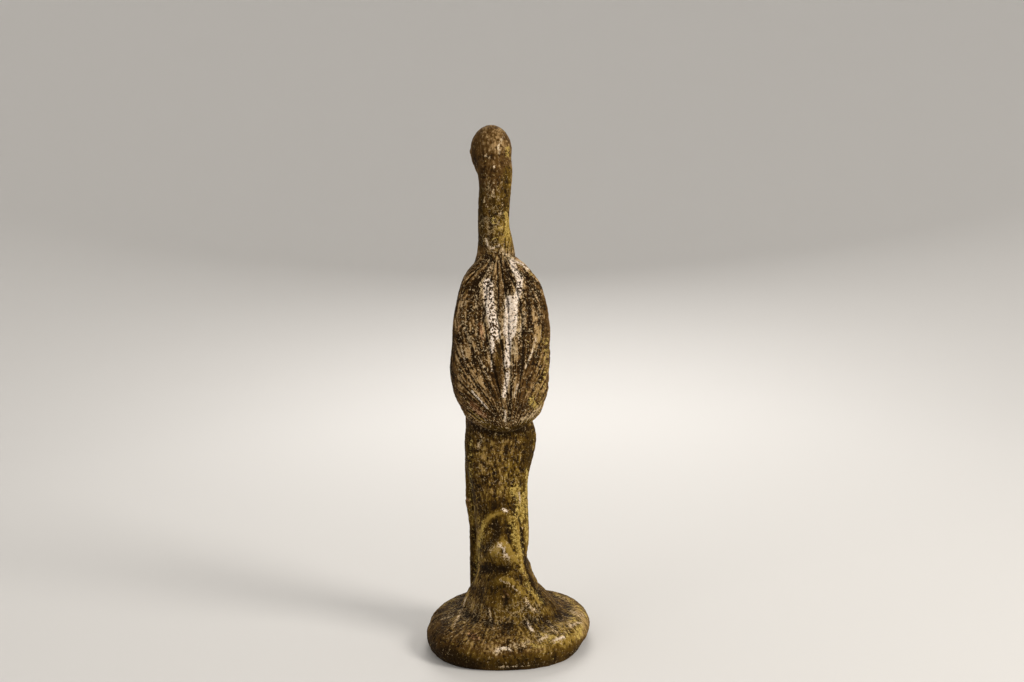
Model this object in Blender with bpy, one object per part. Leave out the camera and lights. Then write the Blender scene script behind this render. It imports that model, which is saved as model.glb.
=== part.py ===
"""A cast stone garden heron: one solid, with the bird, its support and the base cast together.

Metres, +Z up. The origin is the middle of the flat underside, the bird looks along -Y and its own
left side is at +X. The masses are lofted, fused by a voxel remesh, carved and then thinned out.
Until the last step the figure's own axis is at X 0, Y 0.
"""

import math

import bmesh
import bpy
import numpy as np
from mathutils import Matrix

# Driving dimensions
HEIGHT = 0.760  # underside to crown
BODY_WIDTH = 0.139
BREAST_REACH = 0.088  # from the figure's axis to the front of the breast
BACK_REACH = 0.0735  # from the figure's axis to the back of the folded wings
NECK_WIDTH = 0.0475
HEAD_WIDTH = 0.0610
BILL_WIDTH = 0.025
SUPPORT_WIDTH = 0.080
LEG_RADIUS = 0.0095
LEG_SPREAD = 0.066  # between the middles of the two shins
LEG_LEAN = 0.007  # the legs' middle stands this far to the bird's left
TOE_LENGTH = 0.032
BASE_WIDTH = 0.2415
BASE_LENGTH = 0.278
BASE_TURN = -0.29  # radians, about +Z
RIM_HEIGHT = 0.0380
RIM_DIP = 0.07  # share of it by which the rim sinks ahead on the bird's right
FIGURE_AHEAD = 0.0155  # the figure's axis stands this far ahead of the base's middle
FIGURE_ASIDE = 0.003  # and this far to the bird's right of it

# Carving depths and counts
WING_LIFT = 0.0030
FEATHER_DEPTH = 0.0026
FEATHERS = 3.6  # rows of feathers for each doubling of the distance from the spine
SPINE_GROOVE = 0.0036
PLUME_DEPTH = 0.0028
PLUME_LENGTH = 0.040
FLUTE_DEPTH = 0.0006
ROOT_DEPTH = 0.0013
RIM_LIP = 0.0012
RIM_TROUGH = 0.0034
RIM_BREAK = 0.0052  # depth of the worn and broken lower edge
LEDGE_LIP = 0.0030
LEDGE_HOLLOW = 0.0072
FOOT_BLEND = 0.010  # radius to which the trunk's seam with the base is eased
NAPE_BLEND = 0.006  # and the back of the head's with the neck
VIEW_TURN = 0.21  # radians: the rockwork's relief is laid out square to this direction

# Mesh fineness
VOXEL = 0.0024
SMOOTHING_STEPS = 3
TRIANGLES = 9600
SINK = 0.004  # how far the masses reach below the underside before it is cut flat
RING_POINTS = 60
STONE = (0.15, 0.11, 0.065, 1.0)
STONE_ROUGHNESS = 0.93

NAME = "heron_statue"


def smooth_rows(rows, count):
    """The rows as a smooth curve through them, at even steps of their index."""
    rows = np.array(rows, float)
    slope = np.gradient(rows, axis=0)
    at = np.linspace(0, len(rows) - 1, count)
    low = np.minimum(at.astype(int), len(rows) - 2)
    f = (at - low)[:, None]
    return (
        rows[low] * (1 + 2 * f) * (1 - f) ** 2
        + slope[low] * f * (1 - f) ** 2
        + rows[low + 1] * (3 - 2 * f) * f**2
        - slope[low + 1] * (1 - f) * f**2
    )


def ease(low, high, value):
    """0 below low, 1 above high, smooth between."""
    t = np.clip((value - low) / (high - low), 0, 1)
    return t * t * (3 - 2 * t)


def ring(squareness):
    """Unit ring: cosine and sine of each point, squared off by the exponent."""
    turn = np.arange(RING_POINTS) * 2 * math.pi / RING_POINTS
    c, s = np.cos(turn), np.sin(turn)
    power = 2 / squareness
    return np.sign(c) * np.abs(c) ** power, np.sign(s) * np.abs(s) ** power


def loft(rings):
    """A closed mesh over a stack of rings."""
    mesh = bmesh.new()
    loops = [[mesh.verts.new(point) for point in points] for points in rings]
    for low, high in zip(loops, loops[1:]):
        for i in range(RING_POINTS):
            j = (i + 1) % RING_POINTS
            mesh.faces.new((low[i], low[j], high[j], high[i]))
    mesh.faces.new(loops[0][::-1])
    mesh.faces.new(loops[-1])
    bmesh.ops.recalc_face_normals(mesh, faces=mesh.faces)
    return mesh


def stack(rows, squareness=2.1, count=48):
    """A mass of level rings. Rows: z, middle x, half width, y of the front, waist and back."""
    c, s = ring(squareness)
    rings = []
    for z, middle, half, front, waist, back in smooth_rows(rows, count):
        depth = np.where(s > 0, back - waist, waist - front)
        x = middle + half * c
        y = waist + depth * s
        rings.append(np.column_stack([x, y, np.full(RING_POINTS, z)]))
    return loft(rings)


def tube(rows, squareness=2.0, count=32):
    """A mass of rings across a bent spine. Rows: x, y, z, half width, half depth."""
    rows = smooth_rows(rows, count)
    spine = rows[:, :3]
    along = np.gradient(spine, axis=0)
    along /= np.linalg.norm(along, axis=1)[:, None]
    side = np.array([1.0, 0.0, 0.0]) - along[:, :1] * along
    side /= np.linalg.norm(side, axis=1)[:, None]
    across = np.cross(along, side)
    c, s = ring(squareness)
    rings = [
        spine[i] + np.outer(c * rows[i, 3], side[i]) + np.outer(s * rows[i, 4], across[i])
        for i in range(count)
    ]
    return loft(rings)


def egg(centre, halves, nod):
    """An ellipsoid, turned nose down by nod radians."""
    mesh = bmesh.new()
    place = (
        Matrix.Translation(centre)
        @ Matrix.Rotation(nod, 4, "X")
        @ Matrix.Diagonal((*halves, 1.0))
    )
    bmesh.ops.create_uvsphere(mesh, u_segments=48, v_segments=32, radius=1.0, matrix=place)
    return mesh


def base():
    """The oval base: a low bun, its rim rounded over and its top rising towards the figure."""
    dip = np.array([-0.74, -0.67])
    profile = (  # height over the rim's height, reach over the half width
        (-SINK / RIM_HEIGHT, 0.930),
        (0.00, 0.945),
        (0.18, 0.982),
        (0.42, 1.000),
        (0.68, 0.990),
        (0.92, 0.945),
        (1.10, 0.865),
        (1.23, 0.760),
        (1.33, 0.640),
        (1.42, 0.520),
        (1.58, 0.400),
    )
    c, s = ring(2.3)
    cosine, sine = math.cos(BASE_TURN), math.sin(BASE_TURN)
    turn = np.array([[cosine, sine], [-sine, cosine]])
    rings = []
    for up, reach in smooth_rows(profile, 40):
        flat = np.column_stack([c * BASE_WIDTH, s * BASE_LENGTH]) / 2 * reach @ turn
        sunk = RIM_DIP * ease(0.6, 1.0, flat @ dip / np.linalg.norm(flat, axis=1))
        flat += (FIGURE_ASIDE, FIGURE_AHEAD)
        rings.append(np.column_stack([flat, up * RIM_HEIGHT * (1 - sunk)]))
    return loft(rings)


def support():
    """The trunk that carries the body. Behind, it sweeps out into the base like a cloak."""
    half = SUPPORT_WIDTH / 2
    rows = [  # share of the height; middle, width, front, waist and back as shares of the half width
        (0.046, 0.05, 2.10, -1.75, 0.45, 2.78),
        (0.070, 0.05, 1.75, -1.50, 0.38, 2.60),
        (0.092, 0.10, 1.47, -1.28, 0.32, 2.46),
        (0.113, 0.15, 1.15, -1.12, 0.26, 2.30),
        (0.140, 0.17, 0.94, -1.00, 0.20, 2.06),
        (0.172, 0.19, 0.88, -0.92, 0.12, 1.82),
        (0.205, 0.188, 0.91, -0.87, 0.06, 1.52),
        (0.238, 0.17, 0.94, -0.85, 0.02, 1.22),
        (0.270, 0.183, 0.963, -0.85, 0.00, 1.06),
        (0.312, 0.205, 1.05, -0.86, 0.00, 0.99),
        (0.343, 0.155, 1.215, -0.88, 0.00, 0.97),
        (0.375, 0.085, 1.30, -0.94, 0.00, 0.97),
        (0.400, 0.055, 1.33, -1.02, 0.00, 0.99),
        (0.430, 0.05, 1.215, -1.16, 0.00, 1.04),
        (0.460, 0.06, 1.08, -1.26, 0.00, 1.06),
        (0.490, 0.04, 0.86, -1.06, 0.00, 0.84),
    ]
    return stack([(row[0] * HEIGHT, *(share * half for share in row[1:])) for row in rows], squareness=2.3)


def body():
    """The upright egg of breast, belly and folded wings, ending behind in the wing tips."""
    half = BODY_WIDTH / 2
    rows = [  # share of the height; middle and width over half width; front, waist, back over reach
        (0.4235, 0.06, 0.12, 0.52, 0.66, 0.80),
        (0.4305, 0.06, 0.42, 0.08, 0.36, 0.92),
        (0.4400, 0.055, 0.625, -0.30, 0.30, 0.975),
        (0.4530, 0.032, 0.767, -0.52, 0.27, 1.0),
        (0.4720, 0.028, 0.862, -0.68, 0.25, 1.0),
        (0.4920, 0.026, 0.955, -0.79, 0.23, 0.975),
        (0.5290, 0.027, 1.005, -0.91, 0.22, 0.895),
        (0.5640, -0.008, 1.005, -0.975, 0.21, 0.795),
        (0.5990, -0.046, 0.990, -1.0, 0.20, 0.680),
        (0.6320, -0.061, 0.965, -0.99, 0.19, 0.560),
        (0.6620, -0.080, 0.908, -0.94, 0.17, 0.450),
        (0.6880, -0.086, 0.836, -0.86, 0.14, 0.355),
        (0.7090, -0.058, 0.720, -0.78, 0.10, 0.285),
        (0.7270, -0.054, 0.582, -0.68, 0.04, 0.225),
        (0.7450, -0.052, 0.415, -0.54, 0.0, 0.165),
        (0.7600, -0.02, 0.24, -0.36, 0.0, 0.12),
    ]

    def reach(share):
        return share * (BACK_REACH if share > 0 else BREAST_REACH)

    return stack(
        [(z * HEIGHT, m * half, w * half, reach(f), reach(waist), reach(b)) for z, m, w, f, waist, b in rows],
        squareness=2.1,
        count=64,
    )


def neck():
    """The thick neck: out of the breast, up, and bowed forward into the head."""
    half = NECK_WIDTH / 2
    rows = [  # middle x and y over the half width, share of the height, width and depth over it
        (-0.10, -1.20, 0.690, 1.30, 1.50),
        (-0.09, -0.84, 0.724, 1.26, 1.34),
        (-0.15, -0.56, 0.752, 1.20, 1.18),
        (-0.10, -0.37, 0.780, 1.07, 1.08),
        (-0.01, -0.19, 0.810, 0.985, 1.00),
        (-0.06, -0.08, 0.848, 0.985, 0.97),
        (-0.18, -0.12, 0.884, 1.01, 0.98),
        (-0.25, -0.40, 0.914, 1.09, 1.03),
        (-0.26, -0.90, 0.938, 1.13, 1.08),
    ]
    return tube([(x * half, y * half, z * HEIGHT, w * half, d * half) for x, y, z, w, d in rows])


def head():
    """The bowed head, its bill laid down on the breast, and the web of stone behind the bill."""
    half = HEAD_WIDTH / 2
    bill = BILL_WIDTH / 2
    middle = -0.19 * half
    crown = egg((middle, -1.05 * half, HEIGHT - 1.235 * half), (half, 1.36 * half, 1.215 * half), 0.35)
    jaw = tube(
        [
            (middle, -1.00 * half, 0.954 * HEIGHT, 0.97 * half, 1.10 * half),
            (middle, -1.42 * half, 0.924 * HEIGHT, 0.80 * half, 0.90 * half),
            (middle, -1.74 * half, 0.900 * HEIGHT, 1.34 * bill, 1.46 * bill),
            (middle, -1.98 * half, 0.872 * HEIGHT, 0.92 * bill, 1.06 * bill),
            (middle * 0.7, -2.20 * half, 0.824 * HEIGHT, 0.68 * bill, 0.80 * bill),
            (middle * 0.4, -2.33 * half, 0.776 * HEIGHT, 0.50 * bill, 0.62 * bill),
            (middle * 0.2, -2.38 * half, 0.733 * HEIGHT, 0.36 * bill, 0.46 * bill),
        ],
        count=40,
    )
    web = tube(
        [
            (middle * 0.2, -1.60 * half, 0.720 * HEIGHT, 0.95 * bill, 1.80 * bill),
            (middle * 0.4, -1.42 * half, 0.776 * HEIGHT, 0.75 * bill, 1.75 * bill),
            (middle * 0.7, -1.24 * half, 0.824 * HEIGHT, 0.62 * bill, 1.70 * bill),
            (middle, -1.16 * half, 0.870 * HEIGHT, 0.75 * bill, 1.70 * bill),
            (middle, -1.20 * half, 0.912 * HEIGHT, 0.95 * bill, 1.60 * bill),
        ],
        count=24,
    )
    return [crown, jaw, web]


def leg(side):
    """One leg in high relief on the trunk: feathered thigh, shin, knee and three toes ahead."""
    r = LEG_RADIUS
    out = side * LEG_SPREAD / 2
    shin = [  # spread, y over the radius, share of the height, half width and depth over the radius
        (0.50, -2.4, 0.500, 2.30, 3.00),
        (0.62, -3.2, 0.445, 2.10, 2.60),
        (0.76, -3.5, 0.395, 1.75, 2.00),
        (0.97, -3.4, 0.345, 1.35, 1.25),
        (1.03, -3.4, 0.300, 1.10, 1.05),
        (1.00, -3.4, 0.263, 1.26, 1.32),
        (1.00, -3.4, 0.225, 0.98, 1.00),
        (1.00, -3.8, 0.150, 0.95, 1.00),
        (1.00, -4.6, 0.095, 1.00, 1.10),
        (0.97, -5.2, 0.055, 1.00, 1.20),
    ]
    parts = [
        tube([(LEG_LEAN + out * s, y * r, z * HEIGHT, w * r, d * r) for s, y, z, w, d in shin], count=48)
    ]
    toe = [  # share of the length, share of the height, half width and depth over the radius
        (0.00, 0.064, 0.84, 0.84),
        (0.40, 0.062, 0.74, 0.74),
        (0.76, 0.057, 0.66, 0.64),
        (1.00, 0.050, 0.42, 0.42),
    ]
    for turn in (-0.42, 0.0, 0.42):
        dx = math.sin(turn) * TOE_LENGTH
        dy = -math.cos(turn) * TOE_LENGTH
        rows = [(LEG_LEAN + out + dx * t, -5.0 * r + dy * t, z * HEIGHT, w * r, d * r) for t, z, w, d in toe]
        parts.append(tube(rows, count=18))
    return parts


def modified(mesh, *steps):
    """A new mesh: this one after the given modifiers."""
    carrier = bpy.data.objects.new("carrier", mesh)
    bpy.context.scene.collection.objects.link(carrier)
    for kind, settings in steps:
        modifier = carrier.modifiers.new(kind, kind)
        for key, value in settings.items():
            setattr(modifier, key, value)
    graph = bpy.context.evaluated_depsgraph_get()
    made = bpy.data.meshes.new_from_object(carrier.evaluated_get(graph))
    bpy.data.objects.remove(carrier)
    bpy.data.meshes.remove(mesh)
    return made


def fused(parts):
    """The masses as one skin, by a voxel remesh that drops what lies inside."""
    whole = bmesh.new()
    for part in parts:
        copy = bpy.data.meshes.new("mass")
        part.to_mesh(copy)
        part.free()
        whole.from_mesh(copy)
        bpy.data.meshes.remove(copy)
    mesh = bpy.data.meshes.new(NAME)
    whole.to_mesh(mesh)
    whole.free()
    remesh = ("REMESH", {"mode": "VOXEL", "voxel_size": VOXEL, "adaptivity": 0.0})
    smooth = ("SMOOTH", {"factor": 0.5, "iterations": SMOOTHING_STEPS})
    return modified(mesh, remesh, smooth)


def points_of(mesh, what):
    """Each point's place ("co") or normal ("normal") as rows of an array."""
    values = np.empty(len(mesh.vertices) * 3)
    mesh.vertices.foreach_get(what, values)
    return values.reshape(-1, 3)


def blended(mesh):
    """Eases the seams where the masses run into each other, and gives them back as one mass."""
    seams = (  # shares of the height from which and to which it acts, farthest y ahead, radius
        (0.046, 0.066, 0.135, 0.170, -1.0, FOOT_BLEND),
        (0.850, 0.880, 0.925, 0.960, -0.014, NAPE_BLEND),
    )
    for low, full, fade, high, ahead, radius in seams:
        p = points_of(mesh, "co")
        steps = round(2 * (radius / VOXEL) ** 2)
        smooth = modified(mesh.copy(), ("SMOOTH", {"factor": 0.5, "iterations": steps}))
        z = p[:, 2] / HEIGHT
        weight = ease(low, full, z) * (1 - ease(fade, high, z)) * ease(ahead, ahead + radius, p[:, 1])
        moved = p + weight[:, None] * (points_of(smooth, "co") - p)
        bpy.data.meshes.remove(smooth)
        mesh.vertices.foreach_set("co", moved.ravel())
    mass = bmesh.new()
    mass.from_mesh(mesh)
    bpy.data.meshes.remove(mesh)
    return mass


def bell(far, width):
    """1 at no distance, falling off like a bell."""
    return np.exp(-((far / width) ** 2))


def near(points, route):
    """Distance from each point to a polyline."""
    route = np.array(route, float)
    best = np.full(len(points), np.inf)
    for a, b in zip(route, route[1:]):
        ab = b - a
        t = np.clip((points - a) @ ab / (ab @ ab), 0, 1)
        best = np.minimum(best, np.linalg.norm(points - a - t[:, None] * ab, axis=1))
    return best


def wing_place(p):
    """How far up the wings each point lies, from 0 at their tips, and its angle from the spine."""
    t = (p[:, 2] / HEIGHT - 0.418) / (0.750 - 0.418)
    spine = 0.003 - 0.006 * np.clip(t, 0, 1)
    waist = -0.004 - 0.012 * np.clip(t, 0, 1)
    angle = np.arctan2(p[:, 0] - spine, p[:, 1] - waist)
    return t, angle


def wing_edge(t):
    """Angle of the wing's front edge from the spine, at each height."""
    return np.radians(np.interp(t, (-0.02, 0.10, 0.30, 0.55, 0.82, 0.93, 1.0), (74, 92, 112, 112, 100, 84, 60)))


def on_body(p, t):
    """1 on the body, 0 on the neck and on the trunk below the wing tips."""
    hem = 0.080 - 0.10 * np.clip(p[:, 1] / BACK_REACH, -0.2, 1.0)
    return ease(hem, hem + 0.05, t) * (1 - ease(0.93, 1.02, t))


def feather_rows(t, off):
    """Counts the feathers outward from the spine, along lines that fan out below the neck and sweep
    round the wing to meet again at the tail."""
    fan = 0.02 + ease(-0.05, 0.75, t) * (1 - 0.6 * ease(0.80, 1.02, t))
    return FEATHERS * (np.log2(1 + off / (math.pi / 2) / fan) - 0.11)


def feathers(p):
    """The wings: a lifted edge, a smooth band inside it, and overlapping feathers."""
    t, angle = wing_place(p)
    edge = wing_edge(t)
    off = np.abs(angle)
    wing = 1 - ease(edge - 0.10, edge, off)
    row = feather_rows(t, off)
    part_row = row - np.floor(row)
    ridge = np.sin(math.pi / 2 * np.minimum(part_row / 0.66, (1 - part_row) / 0.34))
    mantle = 1 - ease(0.9, 1.1, row)
    band = ease(edge - 0.60, edge - 0.48, off) * ease(0.40, 0.60, t)
    tail = 0.40 + 0.60 * ease(0.08, 0.34, t)
    carved = (ridge * (0.85 + 0.35 * mantle) * (1 - band) + 0.95 * band - 1) * tail
    rim_groove = -0.9 * bell((off - edge + 0.56) * 0.065, 0.0025) * ease(0.40, 0.60, t)
    lifted = WING_LIFT + FEATHER_DEPTH * (carved + rim_groove)
    spine = -SPINE_GROOVE * (1 - ease(-0.25, 0.35, row)) * ease(0.04, 0.20, t)
    return on_body(p, t) * wing * (lifted + spine * (1 - 0.6 * ease(0.75, 0.95, t)))


def shingles(across, along):
    """Height of overlapping hanging locks, each two rows long and staggered by half a width."""
    best = np.zeros(len(across))
    for back in (0, 1):
        row = np.floor(along) - back
        shifted = across + 0.5 * np.mod(row, 2)
        off = 2 * np.abs(shifted - np.floor(shifted) - 0.5)
        down = (along - row) / 2
        inside = off < np.sqrt(np.clip(1 - down**2.5, 0, 1))
        best = np.maximum(best, np.where(inside, (0.30 + 0.70 * down) * (1 - 0.55 * off**2), 0))
    return best


def plumes(p):
    """Hanging plumes on the breast and belly."""
    t, angle = wing_place(p)
    turned = np.mod(angle, 2 * math.pi) - math.pi
    front = ease(wing_edge(t) + 0.04, wing_edge(t) + 0.22, np.abs(angle))
    locks = shingles(turned * 4.2 / (0.35 + 0.65 * np.clip(1.6 - t, 0, 1)), (0.60 - p[:, 2]) / PLUME_LENGTH)
    return on_body(p, t) * front * (locks - 0.45) * PLUME_DEPTH


def flutes(p):
    """Faint upright flutes on the trunk."""
    z = p[:, 2] / HEIGHT
    angle = np.arctan2(p[:, 0] - LEG_LEAN, p[:, 1])
    level = ease(0.12, 0.20, z) * (1 - ease(0.40, 0.43, z))
    wave = np.sin(angle * 11 + 1.9 * np.sin(z * 27)) + 0.7 * np.sin(angle * 19 + 2.6 * np.sin(z * 17))
    return level * wave * FLUTE_DEPTH * 0.6


def roots(p):
    """Radial folds on the top of the base, running out from the foot of the trunk."""
    x, y = p[:, 0] - LEG_LEAN, p[:, 1] - FIGURE_AHEAD
    reach = np.hypot(x, y)
    angle = np.arctan2(x, y)
    level = ease(0.055, 0.080, reach) * (1 - ease(0.095, 0.125, reach))
    level = level * ease(0.5, 0.9, p[:, 2] / RIM_HEIGHT) * (1 - ease(0.09, 0.13, p[:, 2] / HEIGHT))
    wave = np.sin(angle * 11 + 90 * reach) + 0.7 * np.sin(angle * 19 - 55 * reach)
    return level * wave * ROOT_DEPTH * 0.5


def rim(p):
    """On the base at the bird's right: a raised lip, a shallow trough inside it, a broken lower edge."""
    c, s = math.cos(BASE_TURN), math.sin(BASE_TURN)
    flat = p[:, :2] - (FIGURE_ASIDE, FIGURE_AHEAD)
    side = ease(0.1, 0.8, -flat[:, 0] / (1e-6 + np.linalg.norm(flat, axis=1)))
    oval = flat @ np.array([[c, -s], [s, c]]) / (BASE_WIDTH / 2, BASE_LENGTH / 2)
    reach = np.linalg.norm(oval, axis=1)
    up = p[:, 2] / RIM_HEIGHT
    top = ease(0.7, 1.0, up) * (1 - ease(0.09, 0.13, p[:, 2] / HEIGHT))
    broken = bell(np.arctan2(oval[:, 1], -oval[:, 0]) - 0.26, 0.34) * (1 - ease(0.12, 0.56, up))
    lip = RIM_LIP * bell(reach - 0.88, 0.06) - RIM_TROUGH * bell(reach - 0.74, 0.08)
    return side * top * lip - RIM_BREAK * broken * ease(0.6, 0.8, reach)


def rockwork(p):
    """Three pointed ledges stepping down the back of the trunk, a reed beside them, and hollows."""
    across = p[:, 0] * math.cos(VIEW_TURN) - p[:, 1] * math.sin(VIEW_TURN)
    flat = np.column_stack([across, p[:, 2]]) / HEIGHT
    behind = ease(-0.004, 0.016, p[:, 1])
    ridges = (  # route as across and up over the height, half width, height over the lip's
        (((0.066, 0.145), (0.056, 0.190), (0.044, 0.230), (0.026, 0.258), (0.008, 0.267), (-0.010, 0.259),
          (-0.021, 0.243), (-0.025, 0.215), (-0.029, 0.180), (-0.038, 0.152), (-0.056, 0.120)), 0.0052, 1.0),
        (((0.066, 0.124), (0.054, 0.158), (0.040, 0.181), (0.022, 0.199), (0.005, 0.207), (-0.009, 0.194),
          (-0.021, 0.170), (-0.036, 0.145)), 0.0060, 1.1),
        (((0.038, 0.106), (0.033, 0.126), (0.020, 0.140), (0.006, 0.147), (-0.012, 0.141), (-0.028, 0.126),
          (-0.045, 0.105)), 0.0062, 1.15),
        (((-0.040, 0.330), (-0.040, 0.295), (-0.042, 0.230), (-0.047, 0.185), (-0.058, 0.142), (-0.078, 0.116),
          (-0.105, 0.094)), 0.0048, 1.1),
        (((-0.029, 0.250), (-0.033, 0.212), (-0.038, 0.178), (-0.048, 0.146), (-0.068, 0.116)), 0.0026, -0.9),
    )
    made = np.zeros(len(p))
    for route, half, up in ridges:
        route = smooth_rows(route, 3 * len(route))
        made += up * LEDGE_LIP * bell(near(flat, route) * HEIGHT, half)
    hollows = (  # across and up over the height, half width and half height, depth over the hollow's
        (0.010, 0.164, 0.015, 0.0085, 1.00),
        (0.040, 0.154, 0.012, 0.0080, 0.55),
        (0.006, 0.113, 0.0095, 0.0130, 0.95),
        (0.022, 0.233, 0.016, 0.0120, 0.45),
        (-0.008, 0.226, 0.011, 0.0130, 0.30),
    )
    for x, z, wide, tall, depth in hollows:
        far = np.hypot((flat[:, 0] - x) * HEIGHT / wide, (flat[:, 1] - z) * HEIGHT / tall)
        made -= depth * LEDGE_HOLLOW * bell(far, 1.0)
    return behind * made


def face(p):
    """Eyes in shallow sockets and the line of the closed bill."""
    half = HEAD_WIDTH / 2
    middle = -0.19 * half
    made = np.zeros(len(p))
    for side in (-1, 1):
        eye = np.array([middle + side * 0.84 * half, -1.58 * half, HEIGHT - 1.25 * half])
        far = np.linalg.norm(p - eye, axis=1)
        made += 0.0015 * bell(far, 0.0040) - 0.0014 * bell(far - 0.0080, 0.0028)
        mouth = [
            (middle + side * 0.70 * half, -1.62 * half, 0.907 * HEIGHT),
            (middle + side * 0.92 * BILL_WIDTH / 2, -2.02 * half, 0.868 * HEIGHT),
            (middle * 0.4 + side * 0.50 * BILL_WIDTH / 2, -2.33 * half, 0.776 * HEIGHT),
        ]
        made -= 0.0016 * bell(near(p, mouth), 0.0024)
    return made


def carve(mesh):
    """Moves the skin in or out along its normals by the sum of all the carving."""
    p = points_of(mesh, "co")
    height = feathers(p) + plumes(p) + flutes(p) + roots(p) + rim(p) + rockwork(p) + face(p)
    mesh.vertices.foreach_set("co", (p + points_of(mesh, "normal") * height[:, None]).ravel())
    mesh.update()


def thinned(mesh):
    """The carved skin with few faces where it is flat and most where it is carved."""
    mesh.calc_loop_triangles()
    ratio = min(1.0, TRIANGLES / len(mesh.loop_triangles))
    return modified(mesh, ("DECIMATE", {"ratio": ratio, "use_collapse_triangulate": True}))


def cut_flat(mesh):
    """Cuts the underside flat, closes the cut, and moves the base's middle to the origin."""
    work = bmesh.new()
    work.from_mesh(mesh)
    bmesh.ops.bisect_plane(
        work,
        geom=[*work.verts, *work.edges, *work.faces],
        dist=0.0002,
        plane_co=(0, 0, 0),
        plane_no=(0, 0, -1),
        clear_outer=True,
    )
    rim = [edge for edge in work.edges if edge.is_boundary]
    for edge in rim:
        for vert in edge.verts:
            vert.co.z = 0.0
    bmesh.ops.edgeloop_fill(work, edges=rim)
    bmesh.ops.triangulate(work, faces=[face for face in work.faces if len(face.verts) > 3])
    bmesh.ops.recalc_face_normals(work, faces=work.faces)
    bmesh.ops.translate(work, verts=work.verts, vec=(-FIGURE_ASIDE, -FIGURE_AHEAD, 0))
    work.to_mesh(mesh)
    work.free()


def stone():
    made = bpy.data.materials.new("weathered_stone")
    made.use_nodes = True
    shader = made.node_tree.nodes["Principled BSDF"]
    shader.inputs["Base Color"].default_value = STONE
    shader.inputs["Roughness"].default_value = STONE_ROUGHNESS
    shader.inputs["Metallic"].default_value = 0.0
    return made


def main():
    for old in list(bpy.data.objects):
        bpy.data.objects.remove(old)
    trunk = blended(fused([base(), support(), body(), neck(), *head()]))
    mesh = fused([trunk, *leg(-1), *leg(1)])
    carve(mesh)
    mesh = thinned(mesh)
    cut_flat(mesh)
    mesh.name = NAME
    mesh.materials.clear()
    mesh.materials.append(stone())
    mesh.shade_smooth()
    mesh.set_sharp_from_angle(angle=math.radians(50))
    statue = bpy.data.objects.new(NAME, mesh)
    bpy.context.scene.collection.objects.link(statue)


main()
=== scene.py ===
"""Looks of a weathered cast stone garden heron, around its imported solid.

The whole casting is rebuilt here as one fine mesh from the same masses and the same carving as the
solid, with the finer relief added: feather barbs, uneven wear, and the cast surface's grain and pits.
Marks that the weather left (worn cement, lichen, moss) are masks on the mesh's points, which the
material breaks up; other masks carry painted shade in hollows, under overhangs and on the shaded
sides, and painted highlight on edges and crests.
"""

import math

import bmesh
import bpy
import numpy as np
from mathutils import Matrix, Vector


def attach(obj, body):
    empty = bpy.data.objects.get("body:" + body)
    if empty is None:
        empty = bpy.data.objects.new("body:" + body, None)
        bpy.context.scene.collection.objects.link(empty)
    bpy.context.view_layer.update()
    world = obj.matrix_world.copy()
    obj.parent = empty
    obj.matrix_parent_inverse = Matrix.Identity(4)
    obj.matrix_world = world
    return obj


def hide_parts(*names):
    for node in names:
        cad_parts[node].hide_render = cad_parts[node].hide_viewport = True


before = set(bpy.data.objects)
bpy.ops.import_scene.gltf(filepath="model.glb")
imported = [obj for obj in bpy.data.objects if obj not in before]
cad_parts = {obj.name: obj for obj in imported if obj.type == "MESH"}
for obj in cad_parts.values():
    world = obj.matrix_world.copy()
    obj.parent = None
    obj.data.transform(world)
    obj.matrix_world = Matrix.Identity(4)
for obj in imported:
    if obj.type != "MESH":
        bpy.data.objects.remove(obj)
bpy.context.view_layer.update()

# Driving dimensions
HEIGHT = 0.760  # underside to crown
BODY_WIDTH = 0.139
BREAST_REACH = 0.088  # from the figure's axis to the front of the breast
BACK_REACH = 0.0735  # from the figure's axis to the back of the folded wings
NECK_WIDTH = 0.0475
HEAD_WIDTH = 0.0610
BILL_WIDTH = 0.025
SUPPORT_WIDTH = 0.080
LEG_RADIUS = 0.0095
LEG_SPREAD = 0.066  # between the middles of the two shins
LEG_LEAN = 0.007  # the legs' middle stands this far to the bird's left
TOE_LENGTH = 0.032
BASE_WIDTH = 0.2415
BASE_LENGTH = 0.278
BASE_TURN = -0.29  # radians, about +Z
RIM_HEIGHT = 0.0380
RIM_DIP = 0.07  # share of it by which the rim sinks ahead on the bird's right
FIGURE_AHEAD = 0.0155  # the figure's axis stands this far ahead of the base's middle
FIGURE_ASIDE = 0.003  # and this far to the bird's right of it

# Carving depths and counts
WING_LIFT = 0.0030
FEATHER_DEPTH = 0.0026
FEATHERS = 3.6  # rows of feathers for each doubling of the distance from the spine
SPINE_GROOVE = 0.0036
PLUME_DEPTH = 0.0028
PLUME_LENGTH = 0.040
FLUTE_DEPTH = 0.0006
ROOT_DEPTH = 0.0013
RIM_LIP = 0.0012
RIM_TROUGH = 0.0034
RIM_BREAK = 0.0052  # depth of the worn and broken lower edge
LEDGE_LIP = 0.0030
LEDGE_HOLLOW = 0.0072
FOOT_BLEND = 0.010  # radius to which the trunk's seam with the base is eased
NAPE_BLEND = 0.006  # and the back of the head's with the neck
VIEW_TURN = 0.21  # radians: the rockwork's relief is laid out square to this direction

# Fine surface
SINK = 0.004  # how far the masses reach below the underside before it is cut flat
RING_POINTS = 96
VOXEL = 0.00125
SMOOTHING_STEPS = 3
TRIANGLES = 196000
BARB_DEPTH = 0.0005
CAST_ROUGHNESS = 0.00060
PIT_DEPTH = 0.0008
INSET = 0.0005  # keeps the fine relief inside the solid's box
CUT_REACH = 0.0002  # points this near the cut count as on it
FINE, WIDE = 4, 24  # smoothing steps that show fine and wide hollows
FINE_PROUD, WIDE_PROUD = 0.00035, 0.0016  # how far a full edge or hump stands proud
LATTICE_SIZE = 64
LATTICE_SEED = 11
SHIFT_STEP = 7.31  # cells between one noise and the next

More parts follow.
